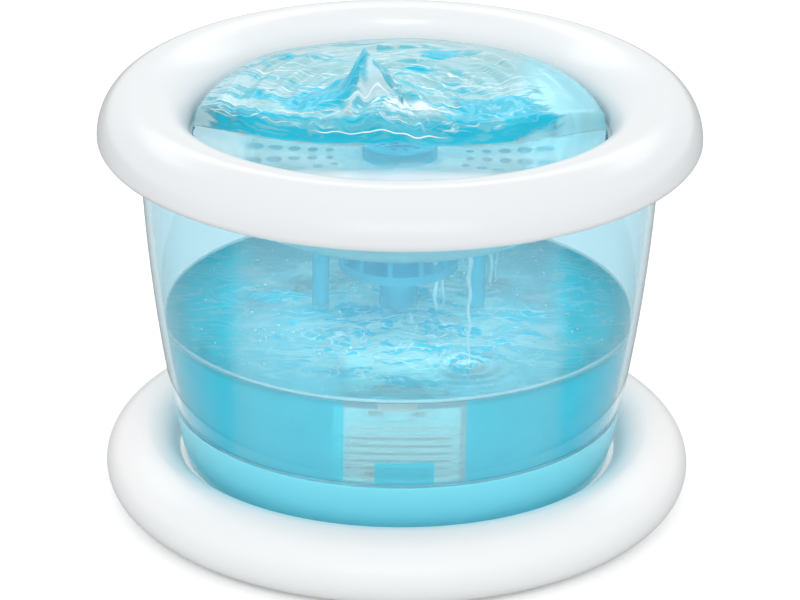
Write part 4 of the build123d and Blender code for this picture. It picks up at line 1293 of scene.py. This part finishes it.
def surface_film(water: bpy.types.Object, low_z: float, gap: float, name: str) -> bpy.types.Object:
    """A sheet just over the free surface of a body of water.

    Args:
        water: The body of water.
        low_z: Faces whose middle is above this height are free surface, in mm.
        gap: How far the sheet is over the water, in mm.
        name: The sheet's name.

    Returns:
        The sheet.
    """
    only(water)
    bpy.ops.object.duplicate()
    sheet = bpy.context.object
    with editing(sheet):
        bpy.ops.mesh.select_mode(type="FACE")
        bpy.ops.object.mode_set(mode="OBJECT")
        for face in sheet.data.polygons:
            face.select = face.center.z / MM < low_z or face.normal.z < 0.05
        bpy.ops.object.mode_set(mode="EDIT")
        bpy.ops.mesh.delete(type="FACE")
    for vertex in sheet.data.vertices:
        vertex.co.z += gap * MM
    return settle(sheet, name, 180)


@dataclass
class BowlWater:
    """Water that wells up in the bowl: a choppy mound that stands over a calm pool in front."""

    dish: BowlDish
    rim_r: float = 78.9
    rim_z: float = 147.7
    calm_z: float = 148.6
    mound_z: Point = (156.6, 163.2)     # height of the mound in front and behind
    power: float = 4.5                  # squareness of the mound's edge
    front_y: Point = (-17.0, 22.0)      # front edge of the mound in the middle, and how far it goes back
    bend: float = 2.5
    centre: Point = (-10.0, 8.0)        # middle of the choppy water
    reach: Point = (67.0, 64.0)         # how far it goes each way
    spout: Place = (-13.5, 6.0, 22.0)   # x, y and height of the jet over the nozzle

    def edge(self, x: float, y: float) -> float:
        """How far behind the mound's front edge a place is, in mm."""
        back = self.front_y[0] + self.front_y[1] * (abs(x) / self.rim_r) ** self.bend
        return y - back + 1.6 * noise.noise(Vector((x / 13, y / 30, 2.2)))

    def chop(self, x: float, y: float) -> float:
        """Height of the waves at a place, in mm."""
        far = max(0.5, math.hypot(x, y))
        swirl = Vector((x / far * 1.9, y / far * 1.9, far / 7.5))
        waves = 1.5 * noise.noise(swirl) + 0.8 * noise.noise(swirl * 2.1) + 0.35 * noise.noise(swirl * 4.3)
        swell = (1.3 + 1.2 * smoothstep(20, 60, y)) * noise.noise(Vector((x / 24, y / 30, 5.5)))
        rings = 0.35 * math.cos(far * FULL_TURN / 8.5 + 2.5 * noise.noise(Vector((x / 25, y / 25, 1.5))))
        return waves + swell + rings

    def cone(self, x: float, y: float) -> float:
        """Height of the spout in mm: steep to the left and in front, drawn out to the right."""
        dx, dy = x - self.spout[0], y - self.spout[1]
        angle = math.atan2(dy, dx)
        far = math.hypot(dx, dy, 1.6) - 1.6
        reach = 27 + 19 * max(0.0, math.cos(angle)) - 9 * max(0.0, -math.sin(angle))
        t = max(0.0, 1 - far / reach)
        folds = 0.9 * math.sin(angle * 7 + 1.6 * math.sin(angle * 3) + far * 0.22) * t * (1 - t) * 4
        folds += 2.2 * noise.noise(Vector((dx / 4.5, dy / 4.5, 8.4))) * t * t * smoothstep(0, 3, far)
        return self.spout[2] * (0.42 * t ** 1.5 + 0.58 * t ** 6) + folds

    def surface(self, x: float, y: float) -> float:
        """Height of the free surface at a place, in mm."""
        r = min(math.hypot(x, y), self.rim_r)
        calm = self.calm_z - (self.calm_z - self.rim_z) * (r / self.rim_r) ** 12
        calm += 0.10 * noise.noise(Vector((x / 16, y / 9, 6.1)))
        high = self.mound_z[0] + (self.mound_z[1] - self.mound_z[0]) * smoothstep(0, 62, y)
        choppy = 1 - smoothstep(0.9, 1.02, math.hypot((x - self.centre[0]) / self.reach[0],
                                                      (y - self.centre[1]) / self.reach[1]))
        rounding = max(0.0, 1 - (r / self.rim_r) ** self.power) ** (1 / self.power)
        mound = self.rim_z + (high - self.rim_z) * rounding
        mound += (self.chop(x, y) * (0.18 + 0.82 * choppy) + self.cone(x, y)) * min(1.0, rounding * 1.25)
        share = smoothstep(-1.5, 6.0, self.edge(x, y))
        return calm + (mound - calm) * share

    def build(self) -> bpy.types.Object:
        """Makes the closed body of water."""
        bottom = list(reversed(self.dish.inside(FILM)))
        water = turned([(0, self.rim_z), (self.rim_r, self.rim_z)] + bottom, WATER_STEPS, CUTS)
        for vertex in water.data.vertices:
            point = water.matrix_world @ vertex.co / MM
            if point.z < self.rim_z - 0.01:
                continue
            t = min(1.0, math.hypot(point.x, point.y) / self.rim_r)
            share = (0.35 + 0.65 * math.sin(t * math.pi / 2) / t) if t > 0 else 1.0
            x, y = point.x * share, point.y * share
            vertex.co += Vector(mm(x - point.x, y - point.y, self.surface(x, y) - point.z))
        return settle(water, "bowl_water", 180)


@dataclass
class Pad:
    """A soft block behind the pump's cover, notched over the intake."""

    name: str
    depth: Point
    half: float = 17.7
    low: float = 26.6
    high: float = 60.0
    notch_half: float = 11.0
    notch_z: float = 33.8
    edge: float = 1.02                  # its softened edges
    pore: float = 1.4                   # size of the dents in its skin
    rough: float = 0.25

    def build(self) -> bpy.types.Object:
        """Makes the pad with its dented skin."""
        pad = slab((-self.half, self.depth[0] + 0.3, self.low), (self.half, self.depth[1] - 0.3, self.high))
        notch = slab((-self.notch_half, self.depth[0] - 1, self.low - 1),
                     (self.notch_half, self.depth[1] + 1, self.notch_z))
        pad = carved(pad, notch, "DIFFERENCE")
        only(pad)
        bevel = pad.modifiers.new("edges", "BEVEL")
        bevel.width = self.edge * MM
        bevel.segments = 3
        bpy.ops.object.modifier_apply(modifier=bevel.name)
        remesh = pad.modifiers.new("skin", "REMESH")
        remesh.mode = "VOXEL"
        remesh.voxel_size = 0.55 * MM
        bpy.ops.object.modifier_apply(modifier=remesh.name)
        for vertex in pad.data.vertices:
            dent = noise.noise(vertex.co / (self.pore * MM)) * self.rough
            vertex.co += vertex.normal * (min(0.0, dent) * MM)
        return settle(pad, self.name, 60)


@dataclass
class Stream:
    """Water that falls from the bowl's holes into the tank, in wavering threads."""

    threads: tuple[tuple[float, float, float, float], ...] = (      # x, y, radius and phase
        (14.0, -4.5, 1.5, 0.3), (17.5, -2.0, 1.0, 0.9), (25.1, 41.1, 1.1, 0.5), (36.2, 21.0, 1.4, 1.7),
        (38.0, 24.0, 0.7, 2.1), (26.5, -55.5, 0.9, 3.0))
    top: float = 119.4
    low: float = 76.2
    steps: int = 24

    def thread(self, x: float, y: float, size: float, phase: float) -> bpy.types.Object:
        """One thread, drawn out downwards from a circle."""
        deselect()
        bpy.ops.mesh.primitive_circle_add(vertices=10, radius=size * MM, fill_type="NGON",
                                          location=mm(x, y, self.top))
        piece = bpy.context.object
        with editing(piece):
            drop = (self.top - self.low) / self.steps
            for i in range(self.steps):
                sway = 0.35 * math.sin(i * 0.9 + phase * 3), 0.3 * math.cos(i * 0.7 + phase * 5)
                bpy.ops.mesh.extrude_region_move(TRANSFORM_OT_translate={"value": mm(*sway, -drop)})
                swell = 1 + 0.22 * math.sin(i * 1.7 + phase * 7) - 0.02
                bpy.ops.transform.resize(value=(swell, swell, 1))
            bpy.ops.mesh.select_all(action="SELECT")
            bpy.ops.mesh.normals_make_consistent(inside=False)
        return piece

    def build(self) -> bpy.types.Object:
        """Makes all the threads as one piece."""
        return settle(joined([self.thread(*place) for place in self.threads]), "falling_water", 60)


@dataclass
class Beads:
    """Small round bubbles on a level, as one piece."""

    name: str
    level: float                        # height of their middles
    count: int = 230
    half: float = 82.0
    reach: float = 84.0
    radii: tuple[float, ...] = (0.25, 0.3, 0.35, 0.45, 0.6)
    seed: int = 4

    def places(self) -> Iterator[tuple[float, float, float]]:
        """X, y and radius of each bead, the same each run."""
        spread = random.Random(self.seed)
        made = 0
        while made < self.count:
            x, y = spread.uniform(-self.half, self.half), spread.uniform(-self.half, self.half)
            if math.hypot(x, y) < self.reach:
                yield x, y, spread.choice(self.radii)
                made += 1

    def build(self) -> bpy.types.Object:
        """Makes the beads from copies of one small ball."""
        deselect()
        bpy.ops.mesh.primitive_uv_sphere_add(segments=8, ring_count=6, radius=MM, location=(0, 0, 0))
        ball = bpy.context.object
        copies = [ball]
        for x, y, radius in self.places():
            made = bpy.data.objects.new(self.name, ball.data.copy())
            bpy.context.scene.collection.objects.link(made)
            made.location = mm(x, y, self.level)
            made.scale = (radius, radius, radius)
            copies.append(made)
        bpy.context.view_layer.update()
        bpy.data.objects.remove(copies.pop(0))
        beads = joined(copies)
        beads.data = beads.data.copy()
        return settle(beads, self.name, 180)


# --- studio -------------------------------------------------------------------------------


@dataclass(frozen=True)
class Panel:
    """A soft rectangular lamp, with lengths in metres and power in watts."""

    name: str
    place: Place
    aim: Place
    size: Point
    power: float
    spread: float = 180.0               # degrees
    hidden: bool = False                # from the camera, from mirrors and through glass


@dataclass
class Studio:
    """White room: camera, lamps, world and floor."""

    camera_place: Place = (0.659, -1441.211, 693.970)
    tilt: float = 66.864                # degrees up from straight down
    roll: float = 0.589
    lens: float = 182.37                # on a 36 mm sensor
    ambient: float = 1.05
    band: float = 2.0                   # extra light of the bright band in mirrors
    band_up: tuple[Point, Point] = ((0.48, 0.54), (0.74, 0.68))     # where it fades in and out
    band_back: Point = (0.2, 0.4)
    floor_glow: float = 0.3
    mirror_front: float = 0.5
    mirror_side: float = 0.2
    mirror_y: Point = (-55.0, -95.0)    # mm; where the floor in mirrors goes from side to front
    panels: tuple[Panel, ...] = (
        Panel("overhead", (0, 0.1, 1.5), (0, 0, 0.1), (1.6, 1.6), 0.6),
        Panel("front", (0.05, -1.5, 0.5), (0, 0, 0.05), (1.4, 0.5), 2.2),
        Panel("low", (0, -0.6, 0.078), (0, 0, 0.078), (0.2, 0.075), 0.0125, 6.0, hidden=True),
        Panel("inner", (0, -0.066, 0.070), (0, -0.03, 0.04), (0.08, 0.012), 0.02, hidden=True))
    spot_height: float = 1.6            # over the floor, in metres, as are the reaches
    spot_soft: float = 0.03
    beam_power: float = 28.5
    beam_reach: float = 0.093
    fill_power: float = 34.0            # of each warm lamp over the tray's gutter
    fill_colour: Place = (1.0, 0.5, 0.36)
    fill_place: Point = (0.079, -0.01)
    fill_reach: float = 0.031
    fill_stretch: float = 1.7

    @staticmethod
    def put(name: str, data: bpy.types.ID, place: Place) -> bpy.types.Object:
        """Puts a camera or a lamp into the scene."""
        made = bpy.data.objects.new(name, data)
        bpy.context.scene.collection.objects.link(made)
        made.location = place
        return made

    def camera(self) -> None:
        """Sets the camera up."""
        data = bpy.data.cameras.new("camera")
        data.lens = self.lens
        data.sensor_width = 36.0
        data.sensor_fit = "HORIZONTAL"
        data.clip_start, data.clip_end = 0.05, 50
        camera = self.put("camera", data, (0, 0, 0))
        camera.matrix_world = (Matrix.Translation(mm(*self.camera_place))
                               @ Matrix.Rotation(math.radians(self.tilt), 4, "X")
                               @ Matrix.Rotation(math.radians(self.roll), 4, "Z"))
        bpy.context.scene.camera = camera

    def lamp(self, panel: Panel) -> None:
        """Sets one soft lamp up and points it."""
        data = bpy.data.lights.new(panel.name, "AREA")
        data.shape = "RECTANGLE"
        data.size, data.size_y = panel.size
        data.energy = panel.power
        data.spread = math.radians(panel.spread)
        lamp = self.put(panel.name, data, panel.place)
        lamp.rotation_euler = (Vector(panel.aim) - Vector(panel.place)).to_track_quat("-Z", "Y").to_euler()
        if panel.hidden:
            lamp.visible_camera = lamp.visible_glossy = lamp.visible_transmission = False

    def spot(self, name: str, place: Point, reach: float, power: float, blend: float) -> bpy.types.Object:
        """A narrow lamp that shines straight down on a round patch, with soft edges by blend."""
        data = bpy.data.lights.new(name, "SPOT")
        data.energy = power
        data.spot_size = 2 * math.atan(reach / self.spot_height)
        data.spot_blend = blend
        data.shadow_soft_size = self.spot_soft
        return self.put(name, data, (*place, self.spot_height))

    def fill(self, tray: bpy.types.Object) -> None:
        """Two warm lamps over the sides of the gutter, which light the tray alone."""
        only_tray = bpy.data.collections.new("lit_by_fill")
        only_tray.objects.link(tray)
        for side in (-1, 1):
            lamp = self.spot("fill", (side * self.fill_place[0], self.fill_place[1]), self.fill_reach,
                             self.fill_power, 1.0)
            lamp.data.color = self.fill_colour
            lamp.scale.y = self.fill_stretch
            lamp.light_linking.receiver_collection = only_tray
            lamp.light_linking.blocker_collection = only_tray

    @staticmethod
    def seen(g: Graph) -> tuple[Value, Value]:
        """Two masks: a ray that is seen at all, and one that comes off a mirror and not through glass."""
        light = add_node(g.tree, "ShaderNodeLightPath")
        camera, glossy, through = (Value(g, light.outputs[f"Is {kind} Ray"])
                                   for kind in ("Camera", "Glossy", "Transmission"))
        return g.most(camera, glossy, through), glossy * (1.0 - through)

    def world(self) -> None:
        """White where it is seen, with a bright band in mirrors; a plain soft light otherwise."""
        world = bpy.data.worlds.new("room")
        world.use_nodes = True
        tree = world.node_tree
        tree.nodes.clear()
        g = Graph(tree)
        seen, mirror = self.seen(g)
        way = add_node(tree, "ShaderNodeTexCoord")
        split = add_node(tree, "ShaderNodeSeparateXYZ", {}, {0: way.outputs["Generated"]})
        back, up = Value(g, split.outputs["Y"]), Value(g, split.outputs["Z"])
        fade_in, fade_out = self.band_up
        band = up.step(*fade_in) * up.step(*fade_out) * back.step(*self.band_back) * mirror
        level = seen * (1 - self.ambient) + self.ambient + band * self.band
        sky = add_node(tree, "ShaderNodeBackground", {"Color": (1, 1, 1, 1)}, {"Strength": level})
        add_node(tree, "ShaderNodeOutputWorld", {}, {"Surface": sky.outputs[0]})
        bpy.context.scene.world = world

    def floor(self) -> None:
        """Pale floor that is white in the open and keeps the fountain's shadow.

        In a mirror it is brighter in front than at the sides.
        """
        deselect()
        bpy.ops.mesh.primitive_plane_add(size=12)
        plane = bpy.context.object
        plane.name = "floor"
        material, tree = new_material("studio_floor")
        g = Graph(tree)
        seen, mirror = self.seen(g)
        paint = add_node(tree, "ShaderNodeBsdfDiffuse", {"Color": (0.82, 0.82, 0.82, 1)})
        glow = add_node(tree, "ShaderNodeEmission", {"Color": (1, 1, 1, 1)},
                        {"Strength": seen * self.floor_glow})
        both = add_node(tree, "ShaderNodeAddShader", {}, {0: paint.outputs[0], 1: glow.outputs[0]})
        level = g.y.step(*self.mirror_y) * (self.mirror_front - self.mirror_side) + self.mirror_side
        image = add_node(tree, "ShaderNodeEmission", {"Color": (1, 1, 1, 1)}, {"Strength": level})
        mix = add_node(tree, "ShaderNodeMixShader", {}, {0: mirror, 1: both.outputs[0], 2: image.outputs[0]})
        add_node(tree, "ShaderNodeOutputMaterial", {}, {"Surface": mix.outputs[0]})
        plane.data.materials.append(material)
        plane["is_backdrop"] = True

    def build(self) -> None:
        """Sets the whole studio up, but for the fill."""
        scene = bpy.context.scene
        scene.view_settings.view_transform = "Standard"
        scene.cycles.max_bounces = 28
        scene.cycles.transmission_bounces = 24
        scene.cycles.glossy_bounces = 12
        scene.cycles.transparent_max_bounces = 32
        scene.cycles.use_denoising = True
        self.camera()
        self.world()
        self.floor()
        for panel in self.panels:
            self.lamp(panel)
        self.spot("beam", (0, 0), self.beam_reach, self.beam_power, 0.35)


# --- the whole ----------------------------------------------------------------------------


def dress_nodes(fountain: Fountain) -> None:
    """Gives each CAD node that is shown as it is its finish."""
    made = fountain.finishes
    for material, nodes in ((made.fitting, ("support_frame", "riser_tube")),
                            (made.nozzle, ("nozzle_body", "nozzle_cap")),
                            (made.pump, ("pump_housing", "chamber_cover")),
                            (made.cover, ("filter_cover", "flow_slider")),
                            (made.rubber, ("rubber_feet", "suction_cups", "cable_gland")),
                            (made.silicone, ("bowl_seal", "outlet_seal", "chamber_oring")),
                            (made.steel, ("stator_core",)),
                            (made.copper, ("coil_winding",)),
                            (made.epoxy, ("potting_resin",)),
                            (made.ferrite, ("rotor_magnet",)),
                            (made.ceramic, ("ceramic_shaft", "rear_bush", "front_bush")),
                            (made.acetal, ("impeller",))):
        for node in nodes:
            fountain.dress(node, material)


def add_shells(fountain: Fountain, studio: Studio, tank: TankShell, dish: BowlDish) -> None:
    """Makes the ring, tray, tank and bowl."""
    made = fountain.finishes
    fountain.add(RingShell().build(), Body.RING, Slot.WHITE_SHELL, made.shell, ["top_ring"])
    tray = fountain.add(TrayShell().build(), Body.BASE, Slot.WHITE_SHELL, made.tray, ["base_tray"])
    studio.fill(tray)
    wall = fountain.add(tank.build(), Body.TANK, Slot.CLEAR_BLUE, made.wall, ["tank_shell"])
    fountain.line_with(wall, made.foot, tank.is_foot)
    fountain.line_with(wall, made.well, tank.is_milky)
    bowl = fountain.add(dish.build(), Body.BOWL, Slot.CLEAR_BLUE, made.dish, ["drinking_bowl"])
    fountain.line_with(bowl, made.hole, dish.is_hole)


def add_water(fountain: Fountain, tank: TankShell, dish: BowlDish) -> None:
    """Makes both bodies of water with their skins."""
    made = fountain.finishes
    level = TankWater.level
    tank_water = TankWater(tank).build()
    bowl_water = BowlWater(dish).build()
    tank_film = surface_film(tank_water, level - 6.0, 0.15, "tank_surface")
    bowl_film = surface_film(bowl_water, BowlWater.rim_z + 0.1, 0.12, "bowl_surface")
    fountain.add(tank_water, Body.TANK, Slot.WATER, made.tank_water)
    fountain.add(bowl_water, Body.BOWL, Slot.WATER, made.bowl_water)
    fountain.add(tank_film, Body.TANK, Slot.WATER, made.tank_skin)
    fountain.add(wall_film(tank, tank.shelf_z + 0.3, 144.0), Body.TANK, Slot.WATER, made.wall_skin)
    fountain.add(bowl_film, Body.BOWL, Slot.WATER, made.dome_skin)


def add_pads(fountain: Fountain) -> None:
    """Makes the foam and carbon pads."""
    made = fountain.finishes
    foam = Pad("foam_pad", (-30.2, -22.2)).build()
    fountain.add(foam, Body.FOAM, Slot.FOAM, made.foam, ["foam_filter"])
    carbon = Pad("carbon_cloth", (-22.0, -17.4), pore=0.9, rough=0.15).build()
    fountain.add(carbon, Body.CARBON, Slot.CARBON, made.carbon, ["carbon_pad"])


def add_falling(fountain: Fountain) -> None:
    """Makes the threads between bowl and tank, and the bubbles."""
    made = fountain.finishes
    level = TankWater.level
    stream = Stream().build()
    stream.data.materials.clear()
    stream.data.materials.append(made.stream)
    mm(0, 0, level + 1)
    mm(0, 0, 119)
    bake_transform(stream)
    fountain.add(Beads("tank_bubbles", level + 0.3).build(), Body.TANK, Slot.WATER, made.bubble)


def main() -> None:
    """Builds every piece in order and logs the sizes."""
    logging.basicConfig(level=logging.INFO, format="%(message)s")
    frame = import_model()
    cad_box = [list(corner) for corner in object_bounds()]
    fountain = Fountain(frame, Finishes())
    studio, tank, dish = Studio(), TankShell(), BowlDish()
    studio.build()
    add_shells(fountain, studio, tank, dish)
    dress_nodes(fountain)
    add_water(fountain, tank, dish)
    add_pads(fountain)
    add_falling(fountain)
    size = {"cad": cad_box, "visual": [list(corner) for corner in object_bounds()]}
    LOG.info("%d pieces, %s", fountain.count, size)


if __name__ == "__main__":
    main()
